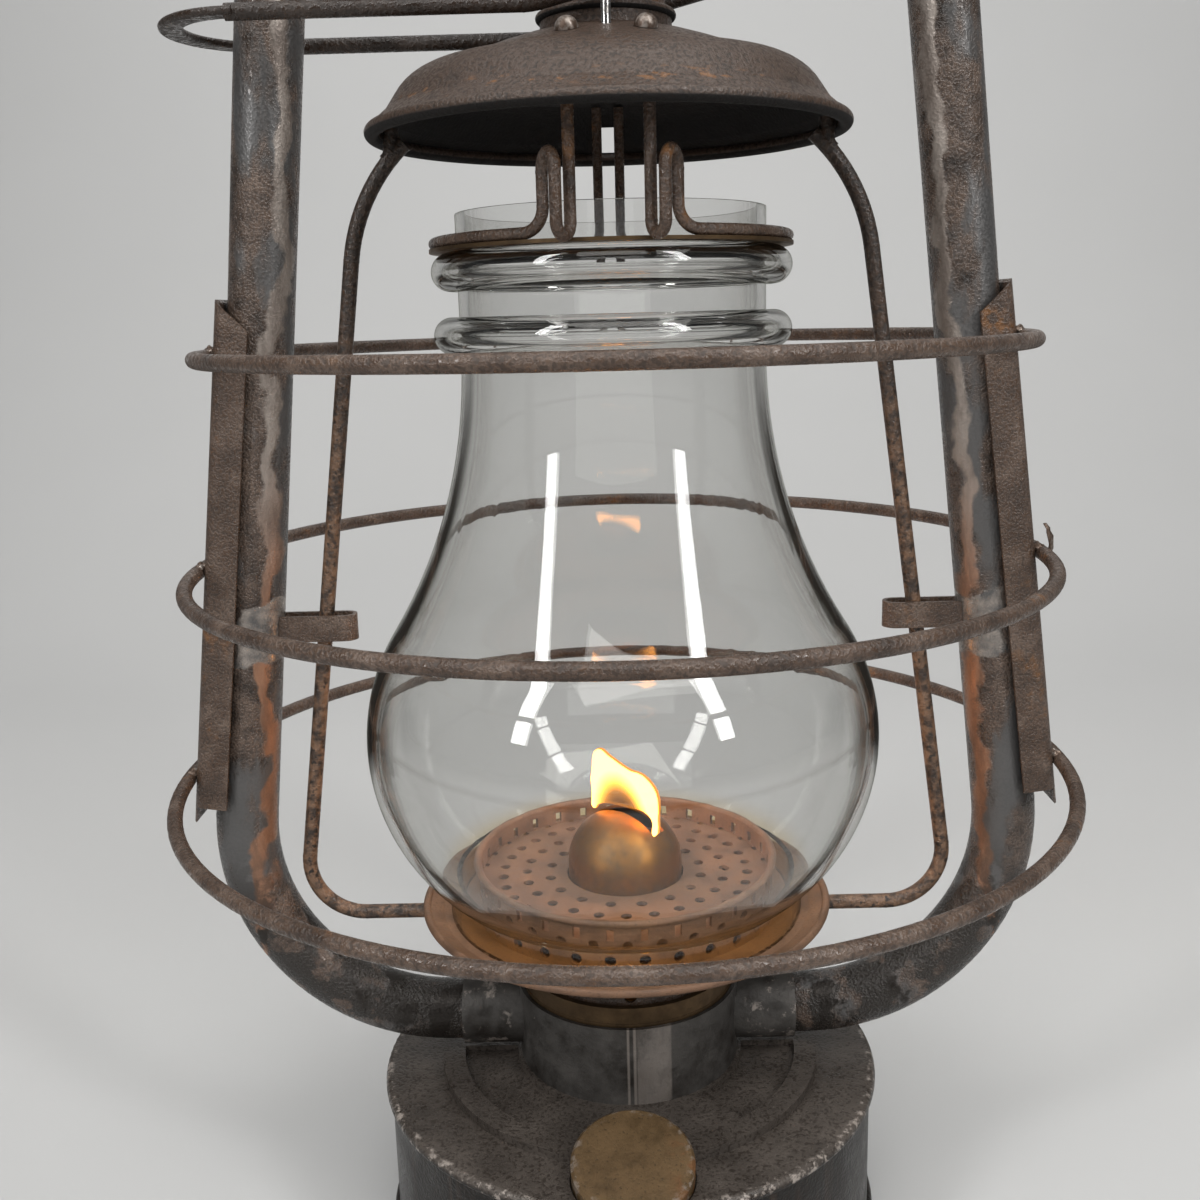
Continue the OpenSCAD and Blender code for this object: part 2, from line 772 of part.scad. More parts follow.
// Spring wire from the hood's front down to a hairpin, half round the globe's shoulder and up at the back
retainer_r = globe_neck_r + bead_out + bead_r*0.75;
function on_shoulder(a) = retainer_r*[cos(a), sin(a), 0];
function along_shoulder(a) = [-sin(a), cos(a), 0];
module retainer() {
    front_a = -63.5;
    back_a = 79;
    bend = 2*retainer_d;
    up = [0, 0, 1];
    step = [2.8, -4.6, 0];
    front = on_shoulder(front_a) - bend*along_shoulder(front_a);
    back = on_shoulder(back_a) + bend*along_shoulder(back_a);
    inner = [lug_x, -retainer_r, 0];
    strands = [inner, inner + step, front];
    low_z = retainer_z + norm(step)/2 - 1;
    high_z = retainer_z + 12;
    bend_z = retainer_z + bend;
    rod(inner + up*low_z, inner + up*(hood_top_at(norm(inner)) - 1.5*hood_wall), retainer_d);
    rod(strands[1] + up*low_z, strands[1] + up*high_z, retainer_d);
    rod(front + up*bend_z, front + up*high_z, retainer_d);
    rod(back + up*bend_z, back + up*(hood_top_at(norm(back)) - 1.5*hood_wall), retainer_d);
    for (at = [inner + up*low_z, strands[1] + up*low_z, strands[1] + up*high_z, front + up*high_z,
            front + up*bend_z, back + up*bend_z])
        joint(at, up, retainer_d);
    for (i = [0, 1])
        translate((strands[i] + strands[i + 1])/2 + up*(i == 0 ? low_z : high_z))
            hairpin(strands[i + 1] - strands[i], i == 0);
    for (a = [front_a, back_a])
        joint(on_shoulder(a) + up*retainer_z, along_shoulder(a), retainer_d);
    translate(front + up*bend_z)
        rotate([0, 0, front_a + 90])
            translate([bend, 0, 0])
                upright()
                    rotate([0, 0, 180])
                        wire_arc(90, bend);
    translate(back + up*bend_z)
        rotate([0, 0, back_a + 90])
            translate([-bend, 0, 0])
                upright()
                    rotate([0, 0, 270])
                        wire_arc(90, bend);
    translate([0, 0, retainer_z])
        rotate([0, 0, front_a])
            wire_arc(back_a - front_a, retainer_r);
}
module wire_arc(angle, r) rotate_extrude(angle = angle) translate([r, 0]) circle(d = retainer_d);
module hairpin(across, at_bottom) {
    rotate([0, 0, atan2(across.y, across.x)])
        upright()
            rotate([0, 0, at_bottom ? 180 : 0])
                wire_arc(180, norm(across)/2);
}
module retainer_left() color(rust) mirror([1, 0, 0]) retainer();
module retainer_right() color(rust) retainer();

module globe_ring() {
    color(old_brass)
        translate([0, 0, ring_seat_z])
            rotate_extrude()
                translate([globe_neck_r + slide_gap, 0])
                    square([retainer_r + retainer_d/2 - globe_neck_r - slide_gap, globe_ring_t]);
}

// Half section of the globe's space, inset by a wall and open past both ends by a margin
module globe_section(inset, margin) {
    waist = pow(globe_neck_z - belly_z, 2) + pow(globe_neck_r - belly_r + belly_curve, 2);
    sweep = (waist - pow(belly_curve, 2))/(2*(belly_r - globe_neck_r));
    join_z = belly_z + belly_curve*(globe_neck_z - belly_z)/(belly_curve + sweep);
    translate([0, plate_top_z - margin])
        square([globe_foot_r - inset, belly_z - plate_top_z + margin]);
    intersection() {
        translate([belly_r - belly_curve, belly_z])
            circle(r = belly_curve - inset);
        translate([0, plate_top_z])
            square([belly_r, join_z - plate_top_z]);
    }
    difference() {
        translate([0, belly_z])
            square([belly_r - inset, globe_neck_z - belly_z]);
        translate([globe_neck_r + sweep, globe_neck_z])
            circle(r = sweep + inset, $fn = 360);
        translate([belly_r - belly_curve/2, belly_z - over])
            square([belly_r, join_z - belly_z + over]);
    }
    translate([0, globe_neck_z])
        square([globe_neck_r - inset, globe_top_z - globe_neck_z + margin]);
    for (z = [bead_low_z, bead_high_z])
        translate([globe_neck_r + bead_out, z])
            circle(r = bead_r - inset);
}

module globe() {
    color(clear_glass)
        rotate_extrude()
            intersection() {
                difference() {
                    globe_section(0, 0);
                    globe_section(glass_t, over);
                }
                translate([0, plate_top_z])
                    square([2*belly_r, globe_top_z - plate_top_z]);
            }
}

// Flat under the globe's foot, with an edge that turns up to a bead
module globe_plate() {
    inner_r = basket_r - plate_t;
    flat_r = globe_foot_r + 2*plate_t;
    color(copper_rust)
        translate([0, 0, plate_z])
            rotate_extrude() {
                polygon([
                    [inner_r, 0],
                    [flat_r, 0],
                    [plate_r, plate_lip],
                    [plate_r, plate_lip + plate_t],
                    [flat_r, plate_t],
                    [inner_r, plate_t]]);
                translate([plate_r, plate_lip + plate_t/2])
                    circle(r = plate_t);
            }
}

// Inverted pan inside the globe's foot: slots and staggered holes in its wall, rings of holes in its floor
module draft_basket() {
    floor_rings = 3;
    floor_in_r = dome_r + slide_gap;
    ring_step = (basket_r - floor_in_r - 2*plate_t)/(floor_rings + 0.5);
    row_step = basket_hole_d*1.25;
    slot_w = 1.8;
    slot_h = 3;
    color(copper_rust)
        difference() {
            rotate_extrude() {
                translate([basket_r - plate_t, plate_top_z])
                    square([plate_t, basket_h]);
                translate([basket_r, basket_top_z])
                    circle(r = plate_t);
                translate([floor_in_r, basket_floor_z - plate_t])
                    square([basket_r - floor_in_r - plate_t/2, plate_t]);
            }
            for (row = [0, 1], i = [0:basket_holes - 1])
                rotate([0, 0, (i + row/2)*360/basket_holes])
                    translate([basket_r - 2*plate_t, 0, plate_top_z + (row + 0.7)*row_step])
                        rotate([0, 90, 0])
                            cylinder(d = basket_hole_d, h = 4*plate_t, $fn = 24);
            for (i = [0:basket_holes - 1])
                rotate([0, 0, i*360/basket_holes])
                    translate([basket_r - 2*plate_t, -slot_w/2, basket_top_z - 1.6*plate_t - slot_h])
                        cube([4*plate_t, slot_w, slot_h]);
            for (ring = [1:floor_rings], i = [0:7 + 8*ring])
                rotate([0, 0, (i + ring/2)*360/(8 + 8*ring)])
                    translate([floor_in_r + ring*ring_step - ring_step/4, 0, basket_floor_z - 2*plate_t])
                        cylinder(d = basket_hole_d, h = 4*plate_t, $fn = 24);
        }
}

// Lift wire from under the plate's edge, up past the guide and into the hood's rim
module lift_wire() {
    run_z = plate_z - lift_d/2;
    bend = 3.8*lift_d;
    shoulder_z = hood_z - 12;
    neck_z = hood_z - 4;
    hook_x = hood_r - hood_bead_r - lift_d/2 - fit_gap;
    path = [
        [plate_r - lift_d - bead_r/2, run_z],
        [lift_at(run_z), run_z],
        [lift_at(shoulder_z), shoulder_z],
        [hook_x, neck_z],
        [hook_x, hood_top_at(hook_x + lift_d/2) - hood_wall - fit_gap]];
    upright() bent_rod(path, [bend, 3*bend, lift_d], lift_d);
}
module lift_wire_left() color(rust) mirror([1, 0, 0]) lift_wire();
module lift_wire_right() color(rust) lift_wire();

module burner_collar() {
    skirt_r = neck_r - neck_wall - fit_gap;
    lip_r = gallery_r - 2*burner_wall;
    color(old_brass)
        rotate_extrude() {
            translate([lip_r, neck_top_z])
                square([burner_r - lip_r, burner_h]);
            translate([skirt_r - 2*burner_wall, neck_top_z - burner_h])
                square([2*burner_wall, burner_h + burner_wall]);
        }
}

gallery_rim_z = plate_z - seat_gap;
module burner_gallery() {
    flare_z = gallery_rim_z - 4*burner_wall;
    rim_r = basket_r + 5;
    color(dark_steel)
        difference() {
            rotate_extrude() {
                translate([gallery_r - burner_wall, burner_top_z])
                    square([burner_wall, flare_z - burner_top_z + burner_wall]);
                polygon([
                    [gallery_r - burner_wall, flare_z],
                    [gallery_r, flare_z],
                    [rim_r, gallery_rim_z - burner_wall],
                    [rim_r, gallery_rim_z],
                    [basket_r, gallery_rim_z]]);
            }
            along_wick()
                spindle_line(-knob_reach, 0, spindle_r + turn_gap);
            for (i = [0:9])
                rotate([0, 0, wick_turn + 18 + 36*i])
                    translate([0, 0, burner_top_z + 2.5*burner_wall])
                        rotate([0, 90, 0])
                            cylinder(r = 1.6, h = 2*gallery_r, $fn = 24);
        }
}

// The spindle lies beside the wick, so that its wheels press on the wick's face
spindle_off = wick_t/2 + seat_gap + wheel_r;
module spindle_line(from, to, r) {
    translate([from, spindle_off, spindle_z])
        rotate([0, 90, 0])
            cylinder(r = r, h = to - from);
}

tube_in_w = wick_w + 2*slide_gap;
tube_in_t = wick_t + 2*slide_gap;
module burner_floor() {
    color(old_brass)
        difference() {
            translate([0, 0, burner_top_z])
                cylinder(r = gallery_r - burner_wall - fit_gap, h = burner_wall);
            along_wick()
                translate([0, 0, burner_top_z])
                    cube([tube_in_w + 2*burner_wall + 2*fit_gap, tube_in_t + 2*burner_wall + 2*fit_gap, 9],
                        center = true);
            for (i = [0:11])
                rotate([0, 0, wick_turn + 15 + 30*i])
                    translate([(dome_r + gallery_r)/2, 0, burner_top_z - over])
                        cylinder(r = 2, h = burner_wall + 2*over, $fn = 24);
        }
}

module wick_tube() {
    low_z = neck_top_z - 2*burner_h;
    high_z = dome_top_z - 2*burner_wall - 5;
    color(old_brass)
        along_wick()
            difference() {
                translate([-tube_in_w/2 - burner_wall, -tube_in_t/2 - burner_wall, low_z])
                    cube([tube_in_w + 2*burner_wall, tube_in_t + 2*burner_wall, high_z - low_z]);
                translate([-tube_in_w/2, -tube_in_t/2, low_z - over])
                    cube([tube_in_w, tube_in_t, high_z - low_z + 2*over]);
                translate([-tube_in_w/2 + over, 0, spindle_z - wheel_r - slide_gap])
                    cube([tube_in_w - 2*over, tube_in_t, 2*(wheel_r + slide_gap)]);
            }
}

// Brass dome on a skirt that stands on the burner's floor; the slot lets the flame out
module burner_dome() {
    foot_z = burner_top_z + burner_wall;
    round_z = dome_top_z - dome_r;
    color(old_brass)
        difference() {
            union() {
                translate([0, 0, foot_z])
                    cylinder(r = dome_r, h = round_z - foot_z);
                translate([0, 0, round_z])
                    sphere(r = dome_r);
            }
            translate([0, 0, foot_z - over])
                cylinder(r = dome_r - burner_wall, h = round_z - foot_z + over);
            translate([0, 0, round_z])
                sphere(r = dome_r - burner_wall);
            translate([0, 0, foot_z - 2*dome_r])
                cylinder(r = 2*dome_r, h = 2*dome_r);
            along_wick() {
                translate([-wick_w/2 - 3, -wick_t, round_z + 4])
                    cube([wick_w + 6, 2*wick_t, dome_r]);
                spindle_line(-knob_reach, 0, spindle_r + turn_gap);
            }
            for (i = [0:7])
                rotate([0, 0, wick_turn + 22.5 + 45*i])
                    translate([0, 0, foot_z + 12])
                        rotate([0, 90, 0])
                            cylinder(r = 2, h = 2*dome_r, $fn = 24);
        }
}

module wick() {
    low_z = base_rise + fount_wall + wick_play;
    color(cotton)
        along_wick()
            translate([-wick_w/2, -wick_t/2, low_z])
                cube([wick_w, wick_t, wick_top_z - low_z]);
}

wheel_at = wick_w/2 - 3;
module wick_spindle() {
    color(worn_steel)
        along_wick()
            spindle_line(-knob_reach, wheel_at + 2, spindle_r);
}

module wick_wheels() {
    color(old_brass)
        along_wick()
            for (place = [-wheel_at, 0, wheel_at])
                translate([place - 0.7, spindle_off, spindle_z])
                    rotate([0, 90, 0])
                        difference() {
                            cylinder(r = wheel_r, h = 1.4);
                            translate([0, 0, -over])
                                cylinder(r = spindle_r, h = 1.4 + 2*over);
                            for (i = [0:wheel_teeth - 1])
                                rotate([0, 0, (i + 0.5)*360/wheel_teeth])
                                    translate([wheel_r, 0, -over])
                                        cylinder(r = 0.6, h = 1.4 + 2*over, $fn = 24);
                        }
}

// Knob disc with a scalloped edge
module wick_knob() {
    flutes = 14;
    knob_t = 3.4;
    color(old_brass)
        along_wick()
            translate([-knob_reach - knob_t, spindle_off, spindle_z])
                rotate([0, 90, 0])
                    difference() {
                        cylinder(r = knob_r, h = knob_t);
                        for (i = [0:flutes - 1])
                            rotate([0, 0, i*360/flutes])
                                translate([knob_r + 0.5, 0, -over])
                                    cylinder(r = 1.2, h = knob_t + 2*over, $fn = 24);
                    }
}

fount_shell();
fount_base();
filler_spout();
filler_cap();
filler_gasket();
fount_neck();
air_tube_left();
air_tube_right();
crown();
crown_cap();
guard_strap_left();
guard_strap_right();
guard_ring_top();
guard_ring_middle();
guard_ring_lower();
lift_guide_left();
lift_guide_right();
lever_band();
lift_bail();
lift_link_front();
lift_link_rear();
hood();
hood_collar();
hood_lugs();
retainer_left();
retainer_right();
globe_ring();
globe();
globe_plate();
draft_basket();
lift_wire_left();
lift_wire_right();
burner_collar();
burner_gallery();
burner_floor();
wick_tube();
burner_dome();
wick();
wick_spindle();
wick_wheels();
wick_knob();
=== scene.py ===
"""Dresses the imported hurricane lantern: finishes, a flame, weld beads, a stage and a camera."""

import math

import bpy
from mathutils import Matrix, Vector


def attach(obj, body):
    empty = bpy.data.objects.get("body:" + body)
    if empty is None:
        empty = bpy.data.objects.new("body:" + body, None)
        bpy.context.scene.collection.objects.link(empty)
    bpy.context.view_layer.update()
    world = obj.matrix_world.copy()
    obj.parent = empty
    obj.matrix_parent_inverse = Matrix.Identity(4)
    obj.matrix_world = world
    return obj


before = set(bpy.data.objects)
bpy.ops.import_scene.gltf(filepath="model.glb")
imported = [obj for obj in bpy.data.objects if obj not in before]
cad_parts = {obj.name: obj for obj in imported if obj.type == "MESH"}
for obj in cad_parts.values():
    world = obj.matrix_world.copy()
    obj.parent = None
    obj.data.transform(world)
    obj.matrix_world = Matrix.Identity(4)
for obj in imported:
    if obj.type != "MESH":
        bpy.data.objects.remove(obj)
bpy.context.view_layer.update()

bl_info = {
    "name": "Hurricane lantern looks",
    "version": (1, 0, 0),
    "blender": (4, 5, 0),
    "location": "3D View > Sidebar > Lantern",
    "description": "Finishes, flame, welds and stage of a rusty hurricane lantern",
    "category": "Object",
}

MM = 0.001
SIDES = (("left", -1.0), ("right", 1.0))
ORIGIN = (0.0, 0.0, 0.0)
QUARTER_TURN = math.radians(90.0)
# The air tubes' middle line: its place at one height, and its lean from upright
TUBE_X = 86.4 * MM
TUBE_Z = 236.6 * MM
TUBE_LEAN = math.radians(6.4)
# Sockets of a Mix node that mixes colours
MIX_MASK = 0
MIX_UNDER = 6
MIX_OVER = 7
MIX_RESULT = 2


def colour(name, description, default):
    """A colour that a user may change."""
    return bpy.props.FloatVectorProperty(
        name=name, description=description, default=default, size=3, min=0.0, max=1.0, subtype="COLOR"
    )


def length(name, description, default):
    """A length that a user may change, in metres."""
    return bpy.props.FloatProperty(
        name=name, description=description, default=default, unit="LENGTH", precision=4
    )


def angle(name, description, degrees):
    """An angle that a user may change."""
    return bpy.props.FloatProperty(
        name=name, description=description, default=math.radians(degrees), subtype="ANGLE"
    )


def amount(name, description, default):
    """A number that a user may change, from zero up."""
    return bpy.props.FloatProperty(name=name, description=description, default=default, min=0.0)


class LanternFinish(bpy.types.PropertyGroup):
    """Colours of the lantern's finishes."""

    rust_brown: colour("Rust brown", "Main tone of the rusted wires and sheets", (0.070, 0.043, 0.029))
    rust_dark: colour("Rust in the pits", "Tone at the bottom of the rust pits", (0.016, 0.011, 0.008))
    rust_pale: colour("Rubbed rust", "Tone of the rubbed high places", (0.128, 0.090, 0.068))
    rust_ochre: colour("Ochre rust", "Fresh rust in patches", (0.150, 0.068, 0.024))
    # The soot tone is also the painted shade under the hood, as well as the char of the burnt wick
    soot_and_shade: colour("Soot", "Black under the hood and on the burnt wick", (0.004, 0.003, 0.0025))
    # The dark steel tone also paints the shade along the guard's straps
    steel_dark_and_shade: colour("Dark steel", "Blackened steel of fount and tubes", (0.022, 0.018, 0.015))
    # Tone of the fount's top, which stays paler than the fount's side
    steel_top: colour("Fount's top", "Dusty dark steel of the fount's top", (0.075, 0.063, 0.054))
    tube_brown: colour("Tube brown", "Main tone of the tubes' grained skin", (0.080, 0.056, 0.043))
    steel_neck: colour("Chamber", "Grey-black steel under the burner", (0.066, 0.061, 0.056))
    steel_grey: colour("Bare steel", "Grey patches where the tubes are bare", (0.105, 0.102, 0.100))
    # The worn steel tone is also the upper part of the tubes' streak, and the copper tone its lower part;
    # that streak is partly a painted highlight
    silver_wear_and_highlight: colour("Worn steel", "Streaks, solder and rubbed edges", (0.300, 0.262, 0.232))
    copper_streak_and_highlight: colour("Copper streak", "Warm streaks low on the tubes", (0.300, 0.160, 0.098))
    plate_copper: colour("Plate", "Rusted copper tone of the globe plate", (0.140, 0.075, 0.042))
    brass_worn: colour("Worn brass", "Rubbed brass of the dome", (0.270, 0.118, 0.022))
    brass_cap: colour("Cap brass", "Cloudy brass of the filler cap", (0.108, 0.065, 0.027))
    brass_dark: colour("Dull brass", "Tarnished brass", (0.105, 0.064, 0.030))
    cotton: colour("Wick", "Cotton of the wick below the char", (0.600, 0.540, 0.440))


class LanternFlame(bpy.types.PropertyGroup):
    """Size and glow of the flame."""

    half_depth: length("Half depth", "Half of the flame's thickness", 0.9 * MM)
    turn: angle("Turn", "Turn of the slot seen from above", -35.0)
    glow: amount("Glow", "Strength of the flame's light", 12.0)


class LanternView(bpy.types.PropertyGroup):
    """Place of the camera and strength of the lights."""

    eye: bpy.props.FloatVectorProperty(
        name="Eye",
        description="Place of the camera",
        default=(-0.00102, -0.3179, 0.2444),
        subtype="TRANSLATION",
    )
    pitch: angle("Pitch", "Downward tilt", 12.63)
    roll: angle("Roll", "Sideways tilt", -1.52)
    yaw: angle("Yaw", "Turn to the side", -0.69)
    lens: amount("Lens", "Focal length in millimetres", 38.34)
    floor_tone: colour("Floor", "Tone of the floor and the backdrop", (0.47, 0.47, 0.465))
    key_power: amount("Key light", "Power of the overhead light", 15.0)
    strip_power: amount("Strip lights", "Power of the tall front lights", 6.0)
    backdrop_power: amount("Backdrop light", "Power of the light on the backdrop", 7.7)
    front_power: amount("Front light", "Power of the low light from the front", 3.2)
    sky: amount("Fill", "Strength of the light from all sides", 0.09)


class Finish:
    """A material in the making: its shader and the textures that feed it."""

    def __init__(self, name, metallic=0.0, roughness=0.6):
        self.material = bpy.data.materials.new(name)
        self.material.use_nodes = True
        self.tree = self.material.node_tree
        self.tree.nodes.clear()
        self.shader = self.add("ShaderNodeBsdfPrincipled", Metallic=metallic, Roughness=roughness)
        self.add("ShaderNodeOutputMaterial", Surface=self.shader.outputs["BSDF"])
        self.place = self.add("ShaderNodeTexCoord").outputs["Object"]
        self.x, self.y, self.z = self.axes(self.place)
        self.relief = None

    def feed(self, socket, value):
        """Gives a socket a number, a colour or another node's result."""
        if isinstance(value, bpy.types.NodeSocket):
            self.tree.links.new(value, socket)
        elif hasattr(value, "__len__") and len(value) == 3 and socket.type == "RGBA":
            socket.default_value = (*value, 1.0)
        else:
            socket.default_value = value

    def add(self, kind, **inputs):
        """A new node with its inputs fed."""
        node = self.tree.nodes.new(kind)
        for name, value in inputs.items():
            self.feed(node.inputs[name], value)
        return node

    def axes(self, vector):
        """The three parts of a vector."""
        parts = self.add("ShaderNodeSeparateXYZ", Vector=vector).outputs
        return parts["X"], parts["Y"], parts["Z"]

    def turned(self, vector, turn):
        """A vector turned about the upright axis."""
        return self.add("ShaderNodeMapping", Vector=vector, Rotation=(0.0, 0.0, turn)).outputs["Vector"]

    def facing(self):
        """The direction that the surface faces."""
        return self.add("ShaderNodeNewGeometry").outputs["Normal"]

    def noise(self, scale, detail=5.0, rough=0.55, stretch=(1.0, 1.0, 1.0), shift=ORIGIN):
        """Cloudy noise with about this many lumps in a metre."""
        mapping = self.add("ShaderNodeMapping", Vector=self.place, Location=shift, Scale=stretch)
        where = mapping.outputs["Vector"]
        texture = self.add("ShaderNodeTexNoise", Vector=where, Scale=scale, Detail=detail, Roughness=rough)
        return texture.outputs["Fac"]

    def sums(self, operation, first, second=0.0):
        """One step of arithmetic."""
        step = self.tree.nodes.new("ShaderNodeMath")
        step.operation = operation
        self.feed(step.inputs[0], first)
        self.feed(step.inputs[1], second)
        return step.outputs["Value"]

    def times(self, first, second):
        """One value times another."""
        return self.sums("MULTIPLY", first, second)

    def radius(self, first, second):
        """How far a point with these two parts lies from zero."""
        return self.sums("SQRT", self.sums("ADD", self.times(first, first), self.times(second, second)))

    def between(self, value, low, high, to_low=0.0, to_high=1.0):
        """Reads a value between two levels, with a soft start and end."""
        levels = {"From Min": low, "From Max": high, "To Min": to_low, "To Max": to_high}
        reading = self.add("ShaderNodeMapRange", Value=value, **levels)
        reading.interpolation_type = "SMOOTHSTEP"
        return reading.outputs["Result"]

    def blend(self, mask, start, end):
        """A number that goes from one level to another as a mask rises from 0 to 1."""
        return self.between(mask, 0.0, 1.0, start, end)

    def clouded(self, cloud, start, end):
        """A number that goes from one level to another with the clouds of a noise."""
        return self.between(cloud, 0.35, 0.65, start, end)

    def band(self, value, low, high, edge):
        """1 between two levels, with soft edges."""
        rise = self.between(value, low - edge, low + edge)
        fall = self.between(value, high - edge, high + edge, 1.0, 0.0)
        return self.times(rise, fall)

    def tones(self, value, *stops):
        """Colours along a value, each with its level."""
        ramp = self.add("ShaderNodeValToRGB", Fac=value)
        elements = ramp.color_ramp.elements
        while len(elements) < len(stops):
            elements.new(0.5)
        for element, (level, tone) in zip(elements, stops):
            element.position = level
            element.color = (*tone, 1.0)
        return ramp.outputs["Color"]

    def over(self, mask, under, tone):
        """Paints a tone over another where the mask says so."""
        mix = self.tree.nodes.new("ShaderNodeMix")
        mix.data_type = "RGBA"
        self.feed(mix.inputs[MIX_MASK], mask)
        self.feed(mix.inputs[MIX_UNDER], under)
        self.feed(mix.inputs[MIX_OVER], tone)
        return mix.outputs[MIX_RESULT]

    def lumps(self, scale, rough=0.5):
        """Fine lumps with clear hollows between them."""
        return self.between(self.noise(scale, detail=3.0, rough=rough), 0.34, 0.66)

    def pitted(self, base, lumps, level, share, tone):
        """Darkens the hollows that lie below a level of the lumps."""
        return self.over(self.times(self.between(lumps, level, 0.0), share), base, tone)

    def raise_by(self, height, depth, strength=1.0):
        """Adds a relief of this depth to the surface."""
        bump = self.add("ShaderNodeBump", Height=height, Distance=depth, Strength=strength)
        if self.relief is not None:
            self.feed(bump.inputs["Normal"], self.relief)
        self.relief = bump.outputs["Normal"]

    def shade(self, inputs):
        """Feeds inputs of the shader by their names."""
        for name, value in inputs.items():
            self.feed(self.shader.inputs[name], value)

    def done(self, base, roughness=None, metallic=None):
        """Joins the colour, the gloss and the relief to the shader."""
        results = {"Base Color": base, "Roughness": roughness, "Metallic": metallic, "Normal": self.relief}
        self.shade({name: value for name, value in results.items() if value is not None})
        return self.material


def scaled(tone, share):
    """A darker tone, or a paler one when the share is above 1."""
    return [part * share for part in tone]


def dress(material, *names):
    """Gives CAD nodes a finish."""
    for name in names:
        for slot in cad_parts[name].material_slots:
            slot.material = material


def rusted(name, tones, main, pale, ochre_share, grain, relief):
    """Lumpy rust with a half gloss: brown clouds, dark pits, ochre patches and a hammered relief."""
    coat = Finish(name)
    cloud = coat.noise(120.0, detail=7.0, rough=0.62)
    base = coat.tones(cloud, (0.30, scaled(main, 0.55)), (0.50, main), (0.72, pale))
    lumps = coat.lumps(grain)
    base = coat.pitted(base, lumps, 0.42, 0.55, tones.rust_dark)
    patch = coat.between(coat.noise(55.0, detail=6.0, rough=0.6), 0.72 - ochre_share, 0.84 - ochre_share)
    speck = coat.between(coat.noise(420.0, detail=4.0, rough=0.6), 0.40, 0.62)
    base = coat.over(coat.times(patch, speck), base, tones.rust_ochre)
    coat.raise_by(coat.noise(grain * 0.3, detail=3.0), relief * 2.0, strength=0.7)
    coat.raise_by(lumps, relief)
    return coat.done(base, coat.blend(lumps, 0.54, 0.22))


class LANTERN_OT_rusted_steel(bpy.types.Operator):
    """Rusts the guard, the hood, the crown, the retainers, the lift wires and the lift bail"""

    bl_idname = "lantern.rusted_steel"
    bl_label = "Rusted steel"

    def execute(self, context):
        tones = context.scene.lantern_finish
        brown = tones.rust_brown
        pale = tones.rust_pale
        bail_share = 0.36
        bail_tones = (scaled(brown, bail_share), scaled(pale, bail_share))
        wire = rusted("rusty_wire", tones, brown, pale, ochre_share=0.14, grain=1100.0, relief=0.15 * MM)
        bail = rusted("bail_wire", tones, *bail_tones, ochre_share=0.08, grain=900.0, relief=0.14 * MM)
        sheet = rusted("rusty_sheet", tones, brown, pale, ochre_share=0.14, grain=1500.0, relief=0.14 * MM)
        dress(wire, "guard_ring_top", "guard_ring_middle", "guard_ring_lower")
        dress(wire, "retainer_left", "retainer_right")
        dress(bail, "lift_bail")
        dress(sheet, "guard_strap_left", "guard_strap_right", "lift_guide_left", "lift_guide_right")
        dress(sheet, "crown", "crown_cap")
        dress(self.hood_coat(tones), "hood", "hood_collar")
        dress(self.lift_coat(tones), "lift_wire_left", "lift_wire_right")
        return {"FINISHED"}

    def hood_coat(self, tones):
        """Rust with painted shade, near black, on the faces that look down under the hood, and ochre streaks
        round the rim.
        """
        rim_low = 288.5 * MM
        rim_high = 291.5 * MM
        coat = Finish("hood_rust")
        brown = scaled(tones.rust_brown, 0.75)
        pale = scaled(tones.rust_pale, 0.75)
        cloud = coat.noise(90.0, detail=10.0, rough=0.7)
        base = coat.tones(cloud, (0.28, tones.rust_dark), (0.44, brown), (0.62, brown), (0.76, pale))
        lumps = coat.lumps(1250.0, rough=0.55)
        base = coat.pitted(base, lumps, 0.40, 0.8, tones.rust_dark)
        round_rim = coat.band(coat.z, rim_low, rim_high, 1.2 * MM)
        torn = coat.between(coat.noise(240.0, detail=6.0, rough=0.6, stretch=(1.0, 1.0, 2.5)), 0.58, 0.66)
        base = coat.over(coat.times(round_rim, torn), base, tones.rust_ochre)
        upward = coat.axes(coat.facing())[2]
        # Painted shade: faces that look down are painted near black in the soot tone
        under = coat.between(upward, 0.0, -0.35)
        base = coat.over(under, base, tones.soot_and_shade)
        gloss = coat.sums("MAXIMUM", coat.blend(lumps, 0.60, 0.36), coat.times(under, 0.95))
        coat.raise_by(coat.noise(330.0, detail=4.0), 0.30 * MM, strength=0.6)
        coat.raise_by(lumps, 0.10 * MM)
        return coat.done(base, gloss)

    def lift_coat(self, tones):
        """Blackened wire with ochre rust that grows towards the bottom."""
        rust_starts = 265.0 * MM
        rust_is_full = 190.0 * MM
        coat = Finish("lift_wire_rust")
        lumps = coat.lumps(1000.0, rough=0.55)
        base = coat.tones(lumps, (0.10, tones.rust_dark), (0.80, scaled(tones.rust_brown, 0.6)))
        low = coat.between(coat.z, rust_starts, rust_is_full)
        patch = coat.between(coat.noise(330.0, rough=0.6), 0.36, 0.62)
        earth = [(ochre + pale) / 2 for ochre, pale in zip(tones.rust_ochre, tones.rust_pale)]
        base = coat.over(coat.times(low, patch), base, earth)
        black = coat.between(coat.noise(520.0, detail=4.0, rough=0.6, shift=(0.3, 0.1, 0.0)), 0.46, 0.36)
        base = coat.over(black, base, tones.rust_dark)
        coat.raise_by(lumps, 0.14 * MM)
        return coat.done(base, coat.blend(lumps, 0.55, 0.28))


